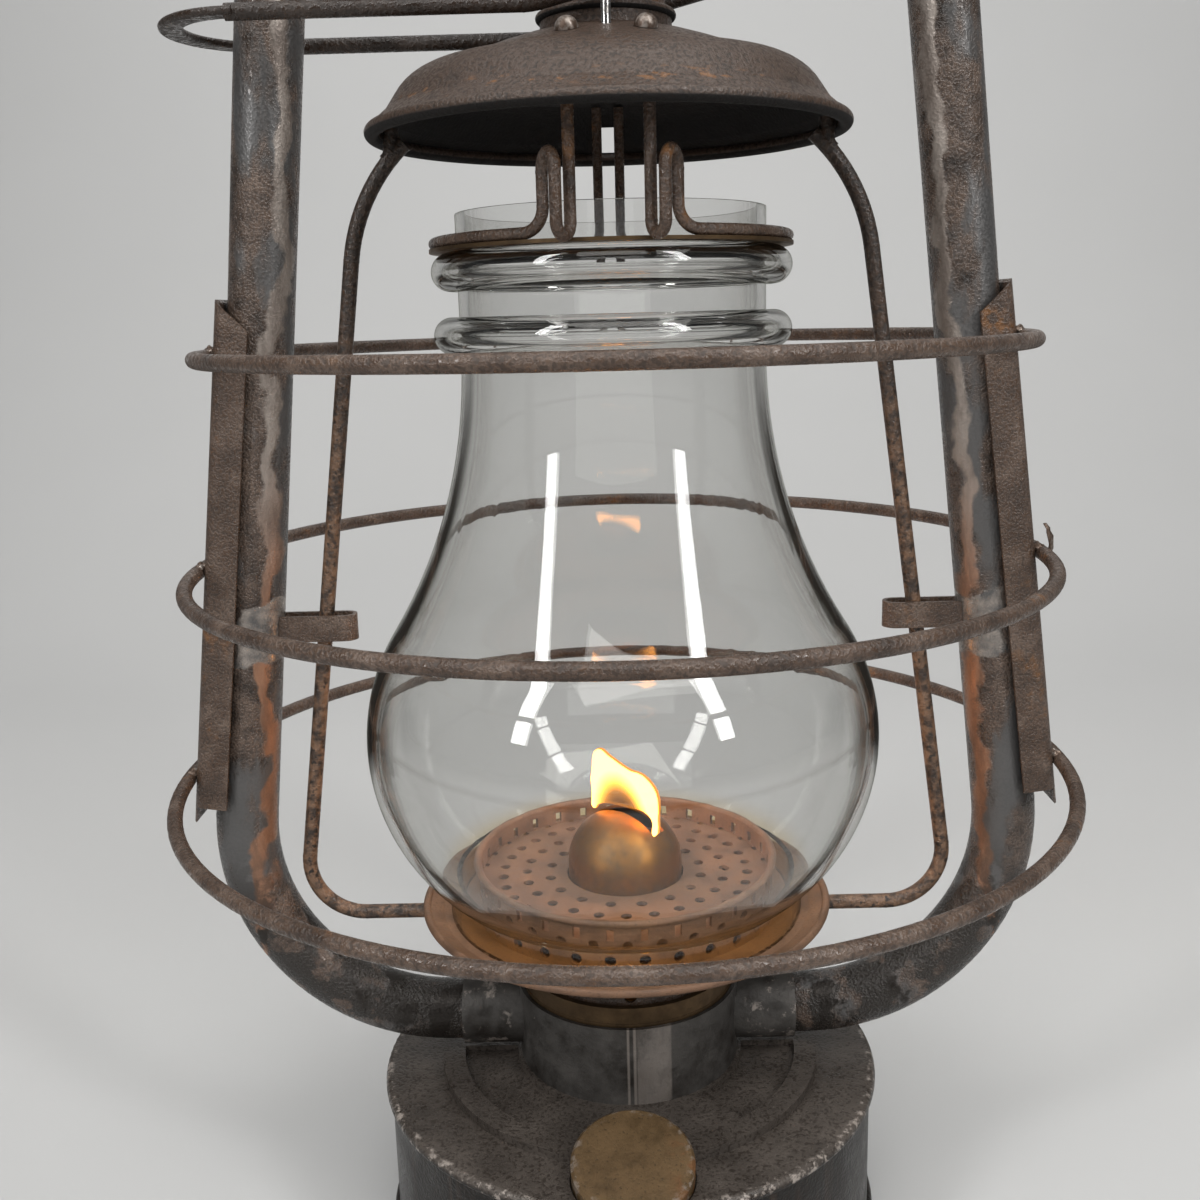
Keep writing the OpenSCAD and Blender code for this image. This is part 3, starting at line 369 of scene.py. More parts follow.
class LANTERN_OT_tube_steel(bpy.types.Operator):
    """Wears the air tubes: brown grain and bare patches, and silvery and coppery streaks that are partly worn
    metal, partly a painted highlight
    """

    bl_idname = "lantern.tube_steel"
    bl_label = "Air tubes"

    def execute(self, context):
        tones = context.scene.lantern_finish
        dress(self.tube_coat(tones), "air_tube_left", "air_tube_right")
        return {"FINISHED"}

    def tube_coat(self, tones):
        """Grained skin, worn off in patches, a long streak that is partly worn metal and partly a painted
        highlight, and solder under the guides.
        """
        coat = Finish("tube_steel")
        wander = coat.times(coat.sums("SUBTRACT", coat.noise(75.0, rough=0.5), 0.5), 12.0 * MM)
        across = coat.sums("ADD", self.off_middle(coat), wander)
        lumps = coat.lumps(1400.0)
        cloud = coat.noise(140.0, detail=6.0, rough=0.6)
        base = coat.tones(cloud, (0.32, tones.rust_dark), (0.52, tones.tube_brown), (0.72, tones.rust_pale))
        base = coat.pitted(base, lumps, 0.40, 0.6, tones.rust_dark)
        bare = coat.between(coat.noise(85.0, stretch=(1.0, 1.0, 0.40)), 0.50, 0.62)
        base = coat.over(bare, base, tones.steel_grey)
        streak = self.streak(coat, across)
        # Partly a painted highlight: the streak's silver and copper stand in for a lit edge as well as worn
        # metal
        base = coat.over(streak, base, self.streak_and_highlight_tone(coat, tones))
        base = coat.over(self.blackened(coat), base, tones.steel_dark_and_shade)
        # Painted shade along the strap, in the dark steel tone
        base = coat.over(self.strap_shade(coat, across), base, tones.steel_dark_and_shade)
        solder = self.solder(coat, across, wander)
        crust = coat.noise(260.0, detail=4.0)
        solder_tone = coat.tones(crust, (0.35, tones.steel_grey), (0.65, tones.silver_wear_and_highlight))
        base = coat.over(solder, base, solder_tone)
        smooth = coat.sums("MAXIMUM", coat.sums("MAXIMUM", bare, streak), solder)
        gloss = coat.sums("ADD", coat.blend(smooth, 0.18, 0.30), coat.blend(lumps, 0.26, 0.0))
        gloss = coat.sums("SUBTRACT", gloss, coat.times(solder, 0.12))
        coat.raise_by(smooth, 0.20 * MM)
        coat.raise_by(coat.noise(120.0, detail=3.0), 0.30 * MM, strength=0.5)
        coat.raise_by(coat.times(lumps, coat.blend(smooth, 1.0, 0.2)), 0.15 * MM)
        return coat.done(base, gloss, coat.blend(smooth, 0.10, 0.55))

    def off_middle(self, coat):
        """How far a point lies outside the tube's leaning middle line, seen from the front."""
        lean = coat.times(coat.sums("SUBTRACT", coat.z, TUBE_Z), math.tan(TUBE_LEAN))
        return coat.sums("SUBTRACT", coat.sums("ADD", coat.sums("ABSOLUTE", coat.x), lean), TUBE_X)

    def streak(self, coat, across):
        """Where the long streak runs, on the front and inside the middle line; it is partly a painted
        highlight.
        """
        drift = coat.between(coat.z, 205.0 * MM, 150.0 * MM, 4.7 * MM, 6.2 * MM)
        line = coat.band(coat.sums("ADD", across, drift), -1.6 * MM, 1.4 * MM, 0.5 * MM)
        return coat.times(line, coat.between(coat.y, 1.0 * MM, -2.0 * MM))

    def streak_and_highlight_tone(self, coat, tones):
        """Silver above, copper below, with stains of the tube's brown: the streak is partly worn metal,
        partly a painted highlight.
        """
        warm = coat.between(coat.z, 215.0 * MM, 165.0 * MM)
        tone = coat.over(warm, tones.silver_wear_and_highlight, tones.copper_streak_and_highlight)
        stain_noise = coat.noise(210.0, detail=6.0, rough=0.6, stretch=(1.0, 1.0, 0.3))
        return coat.over(coat.between(stain_noise, 0.36, 0.62, 0.55, 0.0), tone, tones.tube_brown)

    def blackened(self, coat):
        """Where the lower bends are black."""
        low = coat.between(coat.z, 115.0 * MM, 85.0 * MM)
        return coat.times(low, coat.between(coat.noise(110.0, detail=6.0, rough=0.65), 0.42, 0.50))

    def strap_shade(self, coat, across):
        """Painted shade: the tube is painted dark along the guard's strap, where shade falls between the
        parts.
        """
        outer = coat.between(across, 2.5 * MM, 5.5 * MM)
        return coat.times(outer, coat.band(coat.z, 115.0 * MM, 245.0 * MM, 6.0 * MM))

    def solder(self, coat, across, wander):
        """Where solder holds the lift wires' guides."""
        height = coat.sums("ADD", coat.z, wander)
        level = coat.band(height, 158.0 * MM, 174.5 * MM, 0.4 * MM)
        return coat.times(level, coat.between(across, 1.2 * MM, 0.6 * MM))


class LANTERN_OT_fount_steel(bpy.types.Operator):
    """Blackens the fount and its chamber, with a worn rim and a rubbed seam, and rusts the gallery"""

    bl_idname = "lantern.fount_steel"
    bl_label = "Fount"

    def execute(self, context):
        tones = context.scene.lantern_finish
        brown = tones.rust_brown
        gallery = rusted(
            "gallery_steel",
            tones,
            scaled(brown, 0.5),
            brown,
            ochre_share=0.05,
            grain=1400.0,
            relief=0.10 * MM,
        )
        dress(self.shell_coat(tones), "fount_shell", "fount_base")
        dress(self.neck_coat(tones), "fount_neck")
        dress(gallery, "burner_gallery")
        return {"FINISHED"}

    def shell_coat(self, tones):
        """Dark leathery paint: paler on top, much darker and streaked on the side, rubbed along the rim."""
        side_top = 45.5 * MM
        side_full = 44.0 * MM
        rim_low = 42.5 * MM
        rim_high = 46.5 * MM
        rim_inside = 64.0 * MM
        rim_outside = 65.2 * MM
        coat = Finish("fount_paint")
        top = tones.steel_top
        cloud = coat.noise(60.0, detail=8.0, rough=0.65)
        base = coat.tones(cloud, (0.30, scaled(top, 0.6)), (0.52, top), (0.72, scaled(top, 1.5)))
        side = coat.between(coat.z, side_top, side_full)
        base = coat.over(side, base, scaled(tones.steel_dark_and_shade, 0.35))
        runs = coat.noise(420.0, rough=0.6, stretch=(1.0, 1.0, 0.04))
        streaks = coat.between(runs, 0.48, 0.72, 0.0, 0.35)
        base = coat.over(coat.times(streaks, side), base, tones.rust_brown)
        lumps = coat.lumps(1250.0)
        base = coat.pitted(base, lumps, 0.42, 0.6, tones.rust_dark)
        outside = coat.between(coat.radius(coat.x, coat.y), rim_inside, rim_outside)
        rim = coat.times(outside, coat.band(coat.z, rim_low, rim_high, 0.6 * MM))
        torn = coat.between(coat.noise(380.0, detail=6.0, rough=0.7), 0.50, 0.62)
        base = coat.over(coat.times(rim, torn), base, tones.silver_wear_and_highlight)
        coat.raise_by(coat.noise(260.0, detail=3.0), 0.22 * MM, strength=0.6)
        coat.raise_by(lumps, 0.07 * MM)
        coat.shade({"Specular IOR Level": 0.3})
        return coat.done(base, roughness=coat.clouded(cloud, 0.26, 0.44), metallic=0.12)

    def neck_coat(self, tones):
        """Grey-black sheet with a rubbed patch beside its seam and crusts on the sleeves."""
        patch_left = 1.8 * MM
        patch_right = 10.5 * MM
        seam_lines = ((-0.7 * MM, -0.1 * MM), (0.9 * MM, 1.6 * MM))
        sleeve_starts = 30.5 * MM
        sleeve_is_full = 32.5 * MM
        coat = Finish("neck_steel")
        cloud = coat.noise(95.0, detail=8.0, rough=0.65)
        rubbed = scaled(tones.steel_neck, 1.7)
        base = coat.tones(cloud, (0.30, tones.steel_dark_and_shade), (0.50, tones.steel_neck), (0.72, rubbed))
        front = coat.between(coat.y, -10.0 * MM, -15.0 * MM)
        patch = coat.times(coat.band(coat.x, patch_left, patch_right, 0.3 * MM), front)
        wear = coat.noise(110.0, detail=7.0, rough=0.7, stretch=(1.0, 1.0, 0.5))
        worn = coat.between(wear, 0.30, 0.62, 0.10, 0.60)
        base = coat.over(coat.times(patch, worn), base, tones.silver_wear_and_highlight)
        for left, right in seam_lines:
            line = coat.times(coat.band(coat.x, left, right, 0.2 * MM), front)
            base = coat.over(coat.times(line, 0.7), base, tones.silver_wear_and_highlight)
        crust = coat.between(coat.noise(230.0, detail=8.0, rough=0.7), 0.54, 0.64)
        sleeve = coat.between(coat.sums("ABSOLUTE", coat.x), sleeve_starts, sleeve_is_full)
        base = coat.over(coat.times(sleeve, crust), base, tones.silver_wear_and_highlight)
        coat.raise_by(coat.noise(240.0, detail=6.0, rough=0.6), 0.50 * MM, strength=0.5)
        coat.raise_by(coat.noise(1100.0, detail=3.0), 0.08 * MM)
        return coat.done(base, roughness=coat.clouded(cloud, 0.36, 0.60), metallic=0.45)


class LANTERN_OT_brass(bpy.types.Operator):
    """Tarnishes the brass of the burner and the filler, and rusts the copper plate"""

    bl_idname = "lantern.brass"
    bl_label = "Brass and copper"

    def execute(self, context):
        tones = context.scene.lantern_finish
        dull = tones.brass_dark
        dome = self.brass("dome_brass", tones.brass_worn, dull, level=0.44, metallic=0.90, roughness=0.30)
        ring = self.brass("collar_brass", dull, scaled(dull, 0.45), level=0.50, metallic=0.70, roughness=0.42)
        dress(dome, "burner_dome", "wick_tube", "burner_floor", "wick_wheels", "wick_knob")
        dress(ring, "burner_collar", "globe_ring", "filler_spout")
        dress(self.cap_coat(tones), "filler_cap")
        dress(self.plate_coat(tones), "globe_plate", "draft_basket")
        return {"FINISHED"}

    def brass(self, name, worn, dull, level, metallic, roughness):
        """Brass with tarnish clouds and specks, rubbed bright above a level of the clouds."""
        coat = Finish(name, metallic)
        cloud = coat.noise(110.0, detail=9.0, rough=0.65)
        base = coat.tones(cloud, (level - 0.14, dull), (level + 0.12, worn))
        specks = coat.between(coat.noise(1500.0, detail=3.0), 0.60, 0.72)
        base = coat.over(coat.times(specks, 0.6), base, dull)
        coat.raise_by(coat.noise(700.0, detail=4.0), 0.06 * MM)
        return coat.done(base, coat.between(cloud, 0.3, 0.7, roughness + 0.22, roughness))

    def cap_coat(self, tones):
        """Dull brass cap: cloudy brown with a pale crust along its edge and a red rust stain."""
        cap_middle = -58.5 * MM
        lean_stretch = 1.045
        edge_starts = 12.2 * MM
        edge_is_full = 14.2 * MM
        stain_starts = 7.0 * MM
        stain_is_full = 13.0 * MM
        coat = Finish("cap_brass", metallic=0.35)
        brass = tones.brass_cap
        dull = scaled(brass, 0.55)
        cloud = coat.noise(130.0, detail=9.0, rough=0.7)
        base = coat.tones(cloud, (0.30, dull), (0.50, brass), (0.76, scaled(brass, 1.4)))
        grain = coat.noise(1300.0, detail=4.0, rough=0.6)
        base = coat.over(coat.between(grain, 0.42, 0.32), base, dull)
        along = coat.sums("SUBTRACT", coat.times(coat.y, lean_stretch), cap_middle)
        edge = coat.times(coat.between(coat.radius(coat.x, along), edge_starts, edge_is_full), 0.5)
        crust = coat.between(coat.noise(420.0, detail=6.0, rough=0.7), 0.50, 0.60)
        base = coat.over(coat.times(edge, crust), base, tones.silver_wear_and_highlight)
        right = coat.between(coat.x, stain_starts, stain_is_full)
        stain = coat.times(right, coat.between(coat.noise(200.0), 0.46, 0.58))
        base = coat.over(stain, base, tones.rust_ochre)
        coat.raise_by(grain, 0.10 * MM)
        return coat.done(base, coat.clouded(cloud, 0.44, 0.62))

    def plate_coat(self, tones):
        """Matt pinkish rust with a fine sandy grain."""
        coat = Finish("copper_rust", metallic=0.15)
        copper = tones.plate_copper
        dull = scaled(copper, 0.55)
        cloud = coat.noise(120.0, detail=8.0, rough=0.65)
        base = coat.tones(cloud, (0.32, dull), (0.52, copper), (0.70, scaled(copper, 1.25)))
        grain = coat.noise(1400.0, detail=4.0, rough=0.6)
        base = coat.over(coat.times(coat.between(grain, 0.46, 0.34), 0.8), base, dull)
        coat.raise_by(grain, 0.10 * MM)
        return coat.done(base, coat.clouded(cloud, 0.50, 0.72))


class LANTERN_OT_small_parts(bpy.types.Operator):
    """Finishes the bright hooks, the studs, the rivet heads, the spindle, the gasket and the wick"""

    bl_idname = "lantern.small_parts"
    bl_label = "Small parts"

    def execute(self, context):
        tones = context.scene.lantern_finish
        dress(self.bright_coat(), "lift_link_front", "lift_link_rear", "lever_band", "wick_spindle")
        dress(self.rivet_coat(tones), "hood_lugs")
        dress(self.gasket_coat(), "filler_gasket")
        dress(self.wick_coat(tones), "wick")
        return {"FINISHED"}

    def bright_coat(self):
        """Bare bright steel with grey smears."""
        coat = Finish("bright_wire", metallic=1.0)
        smear = coat.noise(300.0, detail=6.0, rough=0.6)
        base = coat.tones(smear, (0.35, (0.240, 0.225, 0.210)), (0.60, (0.620, 0.610, 0.600)))
        coat.raise_by(coat.noise(500.0, detail=3.0), 0.10 * MM)
        return coat.done(base, coat.between(smear, 0.3, 0.7, 0.34, 0.16))

    def rivet_coat(self, tones):
        """Rusted rivet heads, rubbed bright."""
        coat = Finish("lug_steel", metallic=0.5)
        wear = coat.noise(420.0, detail=4.0, rough=0.6)
        base = coat.tones(wear, (0.42, tones.rust_brown), (0.60, tones.silver_wear_and_highlight))
        coat.raise_by(wear, 0.15 * MM)
        return coat.done(base, coat.between(wear, 0.3, 0.7, 0.50, 0.28))

    def gasket_coat(self):
        """Brown fibre."""
        coat = Finish("gasket_fibre")
        weave = coat.noise(900.0, detail=4.0)
        base = coat.tones(weave, (0.35, (0.060, 0.042, 0.030)), (0.65, (0.140, 0.100, 0.070)))
        coat.raise_by(weave, 0.08 * MM)
        return coat.done(base, roughness=0.85)

    def wick_coat(self, tones):
        """Cotton threads, charred at the top."""
        char_starts = 105.5 * MM
        char_is_full = 110.0 * MM
        coat = Finish("wick_cotton")
        threads = coat.noise(1500.0, detail=3.0, rough=0.5, stretch=(1.0, 1.0, 0.25))
        cloth = coat.tones(threads, (0.35, scaled(tones.cotton, 0.6)), (0.65, tones.cotton))
        char = coat.between(coat.z, char_starts, char_is_full)
        coat.raise_by(threads, 0.15 * MM)
        return coat.done(coat.over(char, cloth, tones.soot_and_shade), roughness=0.9)


class LANTERN_OT_globe_glass(bpy.types.Operator):
    """Makes the globe clear, slightly wavy glass with a little dust, and tints its foot amber as a painted
    glow of the flame
    """

    bl_idname = "lantern.globe_glass"
    bl_label = "Globe glass"

    clear_tint = (0.980, 0.980, 0.978)
    # Amber tint of the foot: a painted glow of the flame's light
    flame_glow_tint = (0.970, 0.780, 0.460)
    smoke_tint = (0.957, 0.957, 0.953)
    flame_glow_starts = 104.5 * MM
    flame_glow_is_full = 97.0 * MM

    def execute(self, context):
        glass = Finish("clear_glass", roughness=0.0)
        glass.shade({"Transmission Weight": 1.0, "IOR": 1.47})
        glass.shade({"Coat Weight": 1.0, "Coat IOR": 1.0, "Coat Tint": self.smoke_tint})
        dust = glass.between(glass.noise(160.0, detail=8.0, rough=0.7), 0.50, 0.85, 0.0, 0.04)
        glass.raise_by(glass.noise(26.0, detail=2.0, rough=0.4), 0.25 * MM, strength=0.25)
        # Painted glow of the flame: the foot is tinted amber
        foot = glass.between(glass.z, self.flame_glow_starts, self.flame_glow_is_full)
        dress(glass.done(glass.over(foot, self.clear_tint, self.flame_glow_tint), dust), "globe")
        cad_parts["globe"].visible_shadow = False
        return {"FINISHED"}


def clear_selection():
    """Leaves nothing selected."""
    bpy.ops.object.select_all(action="DESELECT")


def fix_place():
    """Puts the selected piece's place, turn and scale into its mesh."""
    bpy.ops.object.transform_apply(location=True, rotation=True, scale=True)


def settle(piece, name, material, body):
    """Ends a piece: its place goes into its mesh, and it rides on a body."""
    fix_place()
    piece.name = name
    piece.data.name = name
    piece.data.materials.clear()
    piece.data.materials.append(material)
    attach(piece, body)


def reshape(piece, kind, **settings):
    """Changes the active piece's mesh by a modifier."""
    modifier = piece.modifiers.new(kind.lower(), kind)
    for name, value in settings.items():
        setattr(modifier, name, value)
    bpy.ops.object.modifier_apply(modifier=modifier.name)


def roughen(piece, lump, height):
    """Pushes the surface of the active piece in and out, in lumps of this size."""
    clouds = bpy.data.textures.new("lumps", "CLOUDS")
    clouds.noise_scale = lump
    reshape(piece, "DISPLACE", texture=clouds, strength=height, mid_level=0.5)


def pick(mesh, test):
    """Selects the vertices that pass a test, in edit mode."""
    bpy.ops.mesh.select_all(action="DESELECT")
    bpy.ops.object.mode_set(mode="OBJECT")
    found = [vertex for vertex in mesh.vertices if test(vertex.co)]
    for vertex in found:
        vertex.select = True
    if not found:
        raise RuntimeError("no vertex to move was found on " + mesh.name)
    bpy.ops.object.mode_set(mode="EDIT")


class LANTERN_OT_flame(bpy.types.Operator):
    """Draws the flame's outline over the wick and swells it into a thin sheet along the dome's slot"""

    bl_idname = "lantern.flame"
    bl_label = "Flame"

    # Outline along the slot and upwards, in millimetres
    outline = (
        (-9.2, 114.4),
        (-10.2, 119.5),
        (-9.9, 126.0),
        (-7.8, 132.0),
        (-3.6, 130.4),
        (1.5, 128.2),
        (7.4, 126.8),
        (11.0, 122.4),
        (11.2, 116.6),
        (9.7, 110.6),
        (8.7, 115.6),
        (0.0, 117.0),
        (-7.8, 116.0),
    )
    # The dim arch over the wick: its foot, its height, its half width and how it leans
    arch_foot = 112.0 * MM
    arch_height = 17.6 * MM
    arch_half_width = 11.4 * MM
    arch_lean = 0.30

    def execute(self, context):
        sizes = context.scene.lantern_flame
        flat_share = 0.4
        round_share = 0.6
        clear_selection()
        bpy.ops.curve.primitive_bezier_circle_add(radius=1.0, location=ORIGIN)
        flame = context.active_object
        line = flame.data.splines[0]
        line.bezier_points.add(len(self.outline) - len(line.bezier_points))
        for point, (across, up) in zip(line.bezier_points, self.outline):
            point.co = (across * MM, up * MM, 0.0)
            point.handle_left_type = "AUTO"
            point.handle_right_type = "AUTO"
        flame.data.dimensions = "2D"
        flame.data.fill_mode = "BOTH"
        flame.data.resolution_u = 8
        flame.data.extrude = sizes.half_depth * flat_share
        flame.data.bevel_depth = sizes.half_depth * round_share
        flame.data.bevel_resolution = 3
        flame.data.offset = -sizes.half_depth * round_share
        bpy.ops.object.convert(target="MESH")
        flame = context.active_object
        flame.rotation_euler = (QUARTER_TURN, 0.0, sizes.turn)
        fix_place()
        reshape(flame, "REMESH", mode="VOXEL", voxel_size=0.4 * MM)
        reshape(flame, "SMOOTH", factor=0.5, iterations=8)
        bpy.ops.object.shade_smooth()
        settle(flame, "flame", self.fire(sizes), "frame")
        flame.visible_shadow = False
        return {"FINISHED"}

    def fire(self, sizes):
        """Light that is white-yellow in an arch, orange along the edge and dim over the wick."""
        fire = Finish("flame_light", roughness=1.0)
        along_slot, _, height = fire.axes(fire.turned(fire.place, -sizes.turn))
        slant = fire.sums("ADD", height, fire.times(along_slot, self.arch_lean))
        up = fire.sums("DIVIDE", fire.sums("SUBTRACT", slant, self.arch_foot), self.arch_height)
        across = fire.sums("DIVIDE", along_slot, self.arch_half_width)
        reach = fire.radius(up, across)
        glow = fire.tones(
            reach,
            (0.38, (0.016, 0.006, 0.001)),
            (0.52, (0.050, 0.019, 0.003)),
            (0.64, (0.240, 0.088, 0.012)),
            (0.84, (1.000, 0.380, 0.068)),
        )
        _, out_of_sheet, _ = fire.axes(fire.turned(fire.facing(), -sizes.turn))
        edge = fire.between(fire.sums("ABSOLUTE", out_of_sheet), 0.90, 0.45)
        glow = fire.over(edge, glow, (0.100, 0.034, 0.004))
        fire.shade({"Emission Color": glow, "Emission Strength": sizes.glow})
        fire.shade({"Alpha": fire.between(reach, 0.36, 0.64, 0.45, 1.0)})
        return fire.done((0.02, 0.01, 0.0))


class LANTERN_OT_welds(bpy.types.Operator):
    """Models a lumpy weld bead for the crossings of rings and straps, and a torn flake on the middle ring"""

    bl_idname = "lantern.welds"
    bl_label = "Welds"

    # Middle of the bead at each guard ring on the right, and of the flake, in millimetres
    crossings = ((96.7, -6.2, 238.0), (103.6, -6.2, 185.4), (110.6, -6.2, 131.4))
    flake_place = (106.4, -7.5, 187.6)
    # Turn of the top beads, and what each lower bead is turned further, in radians
    first_turn = 1.1
    turn_step = 0.9

    def execute(self, context):
        metal = self.weld_metal(context.scene.lantern_finish)
        model = self.bead(context)
        for level, (across, along, up) in enumerate(self.crossings):
            for name, side in SIDES:
                clear_selection()
                model.select_set(True)
                context.view_layer.objects.active = model
                bpy.ops.object.duplicate()
                bead = context.active_object
                bead.rotation_euler = (0.0, 0.0, side * (self.first_turn + self.turn_step * level))
                bead.location = (side * across * MM, along * MM, up * MM)
                settle(bead, f"weld_bead_{name}_{level + 1}", metal, "frame")
        clear_selection()
        model.select_set(True)
        bpy.ops.object.delete()
        self.flake(context, metal)
        return {"FINISHED"}

    def bead(self, context):
        """A flat drop of weld metal with lumps."""
        clear_selection()
        bpy.ops.mesh.primitive_ico_sphere_add(subdivisions=4, radius=1.0, location=ORIGIN)
        bead = context.active_object
        bead.scale = (2.0 * MM, 1.5 * MM, 1.2 * MM)
        fix_place()
        roughen(bead, lump=1.3 * MM, height=1.1 * MM)
        bpy.ops.object.shade_smooth()
        return bead

    def flake(self, context, metal):
        """A torn scrap of sheet that stands on the outside of the middle ring."""
        clear_selection()
        bpy.ops.mesh.primitive_cube_add(size=1.0, location=ORIGIN)
        flake = context.active_object
        flake.scale = (0.6 * MM, 2.4 * MM, 6.0 * MM)
        fix_place()
        bpy.ops.object.mode_set(mode="EDIT")
        bpy.ops.mesh.select_all(action="SELECT")
        bpy.ops.mesh.subdivide(number_cuts=6)
        self.bend_tip(flake, above=1.2 * MM, narrow=0.5, shift=(-0.7 * MM, 0.5 * MM, 0.3 * MM))
        self.bend_tip(flake, above=2.6 * MM, narrow=0.4, shift=(-1.0 * MM, 0.4 * MM, 0.2 * MM))
        bpy.ops.object.mode_set(mode="OBJECT")
        roughen(flake, lump=1.8 * MM, height=0.8 * MM)
        bpy.ops.object.shade_smooth()
        flake.rotation_euler = (math.radians(12.0), 0.0, math.radians(-35.0))
        flake.location = [part * MM for part in self.flake_place]
        settle(flake, "torn_flake", metal, "frame")

    def bend_tip(self, flake, above, narrow, shift):
        """Narrows the flake above a height and bends it aside."""
        pick(flake.data, lambda place: place.z > above)
        bpy.ops.transform.resize(value=(1.0, narrow, 1.0))
        bpy.ops.transform.translate(value=shift)

    def weld_metal(self, tones):
        """Pale, half bright metal with brown stains."""
        coat = Finish("weld_metal", metallic=0.6)
        stain = coat.noise(520.0, rough=0.6)
        worn = tones.silver_wear_and_highlight
        base = coat.tones(stain, (0.36, tones.rust_brown), (0.52, tones.rust_pale), (0.66, worn))
        coat.raise_by(coat.noise(1400.0, detail=3.0), 0.10 * MM)
        return coat.done(base, coat.clouded(stain, 0.50, 0.26))


class LANTERN_OT_stage(bpy.types.Operator):
    """Sets up the pale floor and backdrop, the dark cards, the soft lights and the camera"""

    bl_idname = "lantern.stage"
    bl_label = "Stage"

    # The dark cards: middle of the right one, its size, and where it is black: from, to and how soft
    card_place = (0.255, 0.28, 0.115)
    card_width = 0.24
    card_height = 0.27
    black_sideways = (0.160, 0.345, 0.022)
    black_upwards = (0.010, 0.220, 0.025)

    def execute(self, context):
        view = context.scene.lantern_view
        self.floor(context, view)
        self.flags(context)
        self.lights(context, view)
        self.camera(context, view)
        return {"FINISHED"}

    def floor(self, context, view):
        """One sheet that lies on the ground and bends up behind the lantern."""
        sheet_size = 6.0
        sheet_middle = (0.0, -1.8, 0.0)
        back_height = 3.0
        bend = 0.7
        near_back = 1.0
        near_ground = 0.1
        clear_selection()
        bpy.ops.mesh.primitive_plane_add(size=sheet_size, location=sheet_middle)
        sheet = context.active_object
        fix_place()
        bpy.ops.object.mode_set(mode="EDIT")
        pick(sheet.data, lambda place: place.y > near_back)
        bpy.ops.mesh.extrude_region_move(TRANSFORM_OT_translate={"value": (0.0, 0.0, back_height)})
        pick(sheet.data, lambda place: place.y > near_back and place.z < near_ground)
        bpy.ops.mesh.bevel(offset=bend, segments=24, affect="EDGES")
        bpy.ops.object.mode_set(mode="OBJECT")
        bpy.ops.object.shade_smooth()
        sheet.name = "floor_sheet"
        paper = Finish("floor_paper", roughness=0.8)
        tone = view.floor_tone
        tint = paper.tones(paper.noise(3.0, detail=3.0), (0.3, tone), (0.7, scaled(tone, 1.04)))
        sheet.data.materials.append(paper.done(tint))

    def flags(self, context):
        """Two black cards with soft edges behind the globe's sides, unseen by the camera, which the glass
        bends into view and shiny parts reflect.
        """
        black = Finish("flag_black", roughness=1.0)
        tint = black.tones(black.noise(8.0), (0.4, (0.012, 0.009, 0.007)), (0.6, (0.020, 0.016, 0.012)))
        sideways = black.band(black.sums("ABSOLUTE", black.x), *self.black_sideways)
        upwards = black.band(black.z, *self.black_upwards)
        black.shade({"Alpha": black.times(sideways, upwards)})
        card_black = black.done(tint)
        across, back, up = self.card_place
        for _, side in SIDES:
            clear_selection()
            bpy.ops.mesh.primitive_plane_add(size=1.0, location=(across * side, back, up))
            card = context.active_object
            card.rotation_euler = (QUARTER_TURN, 0.0, 0.0)
            card.scale = (self.card_width, self.card_height, 1.0)
            fix_place()
            card.name = "black_flag"
            card.data.materials.append(card_black)
            card.visible_camera = False
            card.visible_diffuse = False
            card.visible_shadow = False

    def lights(self, context, view):
        """A wide light overhead, two tall ones, one on the backdrop, a low one and a pale sky."""
        key = self.area(
            "key_light", (0.15, -0.55, 1.45), (0.0, 0.0, 0.18), width=1.5, height=1.2, power=view.key_power
        )
        key.data.color = (1.0, 0.985, 0.96)
        for _, side in SIDES:
            place = (0.66 * side, -0.66, 0.78)
            self.area("strip_light", place, (0.0, 0.0, 0.20), width=0.13, height=0.80, power=view.strip_power)
        self.area(
            "backdrop_light",
            (0.0, 0.45, 1.30),
            (0.0, 1.1, 0.25),
            width=1.6,
            height=0.5,
            power=view.backdrop_power,
        )
        front = self.area(
            "front_fill", (0.0, -1.30, 0.30), (0.0, 0.0, 0.10), width=1.4, height=0.6, power=view.front_power
        )
        front.visible_glossy = False
        self.flame_lamp(context)
        world = bpy.data.worlds.new("studio_sky")
        world.use_nodes = True
        sky = world.node_tree.nodes["Background"]
        sky.inputs["Color"].default_value = (0.93, 0.96, 1.0, 1.0)
        sky.inputs["Strength"].default_value = view.sky
        context.scene.world = world
        context.scene.view_settings.view_transform = "Standard"

    def flame_lamp(self, context):
        """A small warm lamp where the flame burns, unseen itself."""
        lamp = bpy.data.lights.new("flame_lamp", "POINT")
        lamp.energy = 0.05
        lamp.color = (1.0, 0.60, 0.26)
        lamp.shadow_soft_size = 4.0 * MM
        glow = bpy.data.objects.new("flame_lamp", lamp)
        glow.location = (0.0, 0.0, 123.0 * MM)
        glow.visible_camera = False
        glow.visible_transmission = False
        glow.visible_glossy = False
        context.scene.collection.objects.link(glow)

    def area(self, name, place, target, width, height, power):
        """A rectangular light that looks at a point."""
        lamp = bpy.data.lights.new(name, "AREA")
        lamp.shape = "RECTANGLE"
        lamp.size = width
        lamp.size_y = height
        lamp.energy = power
        light = bpy.data.objects.new(name, lamp)
        light.location = place
        light.rotation_euler = (Vector(target) - Vector(place)).to_track_quat("-Z", "Y").to_euler()
        bpy.context.scene.collection.objects.link(light)
        return light

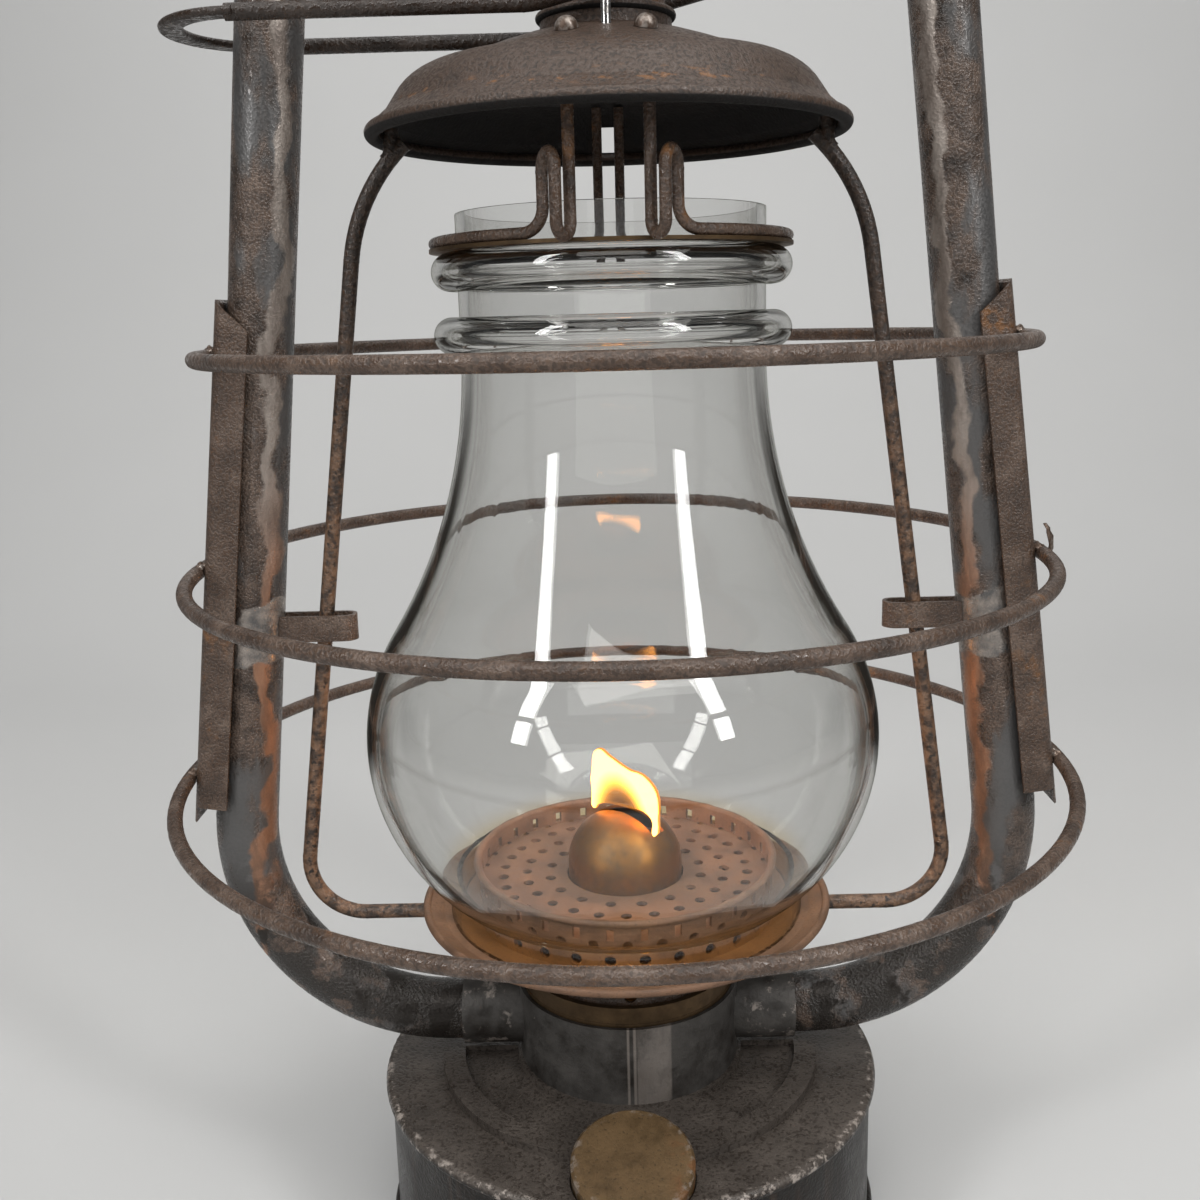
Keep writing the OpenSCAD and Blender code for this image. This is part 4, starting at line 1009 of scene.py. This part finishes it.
    def camera(self, context, view):
        """A camera close in front, a little above the globe's neck."""
        level = Vector((math.cos(view.yaw), -math.sin(view.yaw), 0.0))
        ahead = Vector((math.sin(view.yaw), math.cos(view.yaw), 0.0))
        rise = Vector((0.0, 0.0, 1.0))
        forward = ahead * math.cos(view.pitch) - rise * math.sin(view.pitch)
        upward = ahead * math.sin(view.pitch) + rise * math.cos(view.pitch)
        right = level * math.cos(view.roll) + upward * math.sin(view.roll)
        top = upward * math.cos(view.roll) - level * math.sin(view.roll)
        camera = bpy.data.objects.new("camera", bpy.data.cameras.new("camera"))
        camera.data.lens = view.lens
        camera.data.sensor_width = 36.0
        camera.data.clip_start = 10.0 * MM
        turn = Matrix((right, top, -forward)).transposed().to_4x4()
        camera.matrix_world = Matrix.Translation(Vector(view.eye)) @ turn
        context.scene.collection.objects.link(camera)
        context.scene.camera = camera


STEPS = (
    LANTERN_OT_stage,
    LANTERN_OT_rusted_steel,
    LANTERN_OT_tube_steel,
    LANTERN_OT_fount_steel,
    LANTERN_OT_brass,
    LANTERN_OT_small_parts,
    LANTERN_OT_globe_glass,
    LANTERN_OT_flame,
    LANTERN_OT_welds,
)


class LANTERN_PT_looks(bpy.types.Panel):
    """Lists the steps that dress the lantern, and their settings."""

    bl_idname = "LANTERN_PT_looks"
    bl_label = "Hurricane lantern"
    bl_space_type = "VIEW_3D"
    bl_region_type = "UI"
    bl_category = "Lantern"

    def draw(self, context):
        for step in STEPS:
            self.layout.operator(step.bl_idname)
        for group in ("lantern_finish", "lantern_flame", "lantern_view"):
            settings = getattr(context.scene, group)
            box = self.layout.box()
            for name in settings.bl_rna.properties.keys():
                if name not in {"rna_type", "name"}:
                    box.prop(settings, name)


GROUPS = (LanternFinish, LanternFlame, LanternView)


def register():
    for group in GROUPS:
        bpy.utils.register_class(group)
    bpy.types.Scene.lantern_finish = bpy.props.PointerProperty(type=LanternFinish)
    bpy.types.Scene.lantern_flame = bpy.props.PointerProperty(type=LanternFlame)
    bpy.types.Scene.lantern_view = bpy.props.PointerProperty(type=LanternView)
    for step in STEPS:
        bpy.utils.register_class(step)
    bpy.utils.register_class(LANTERN_PT_looks)


def unregister():
    bpy.utils.unregister_class(LANTERN_PT_looks)
    for step in reversed(STEPS):
        bpy.utils.unregister_class(step)
    del bpy.types.Scene.lantern_view
    del bpy.types.Scene.lantern_flame
    del bpy.types.Scene.lantern_finish
    for group in reversed(GROUPS):
        bpy.utils.unregister_class(group)


def main():
    register()
    bpy.ops.lantern.stage()
    bpy.ops.lantern.rusted_steel()
    bpy.ops.lantern.tube_steel()
    bpy.ops.lantern.fount_steel()
    bpy.ops.lantern.brass()
    bpy.ops.lantern.small_parts()
    bpy.ops.lantern.globe_glass()
    bpy.ops.lantern.flame()
    bpy.ops.lantern.welds()
    bpy.context.view_layer.update()


if __name__ == "__main__":
    main()
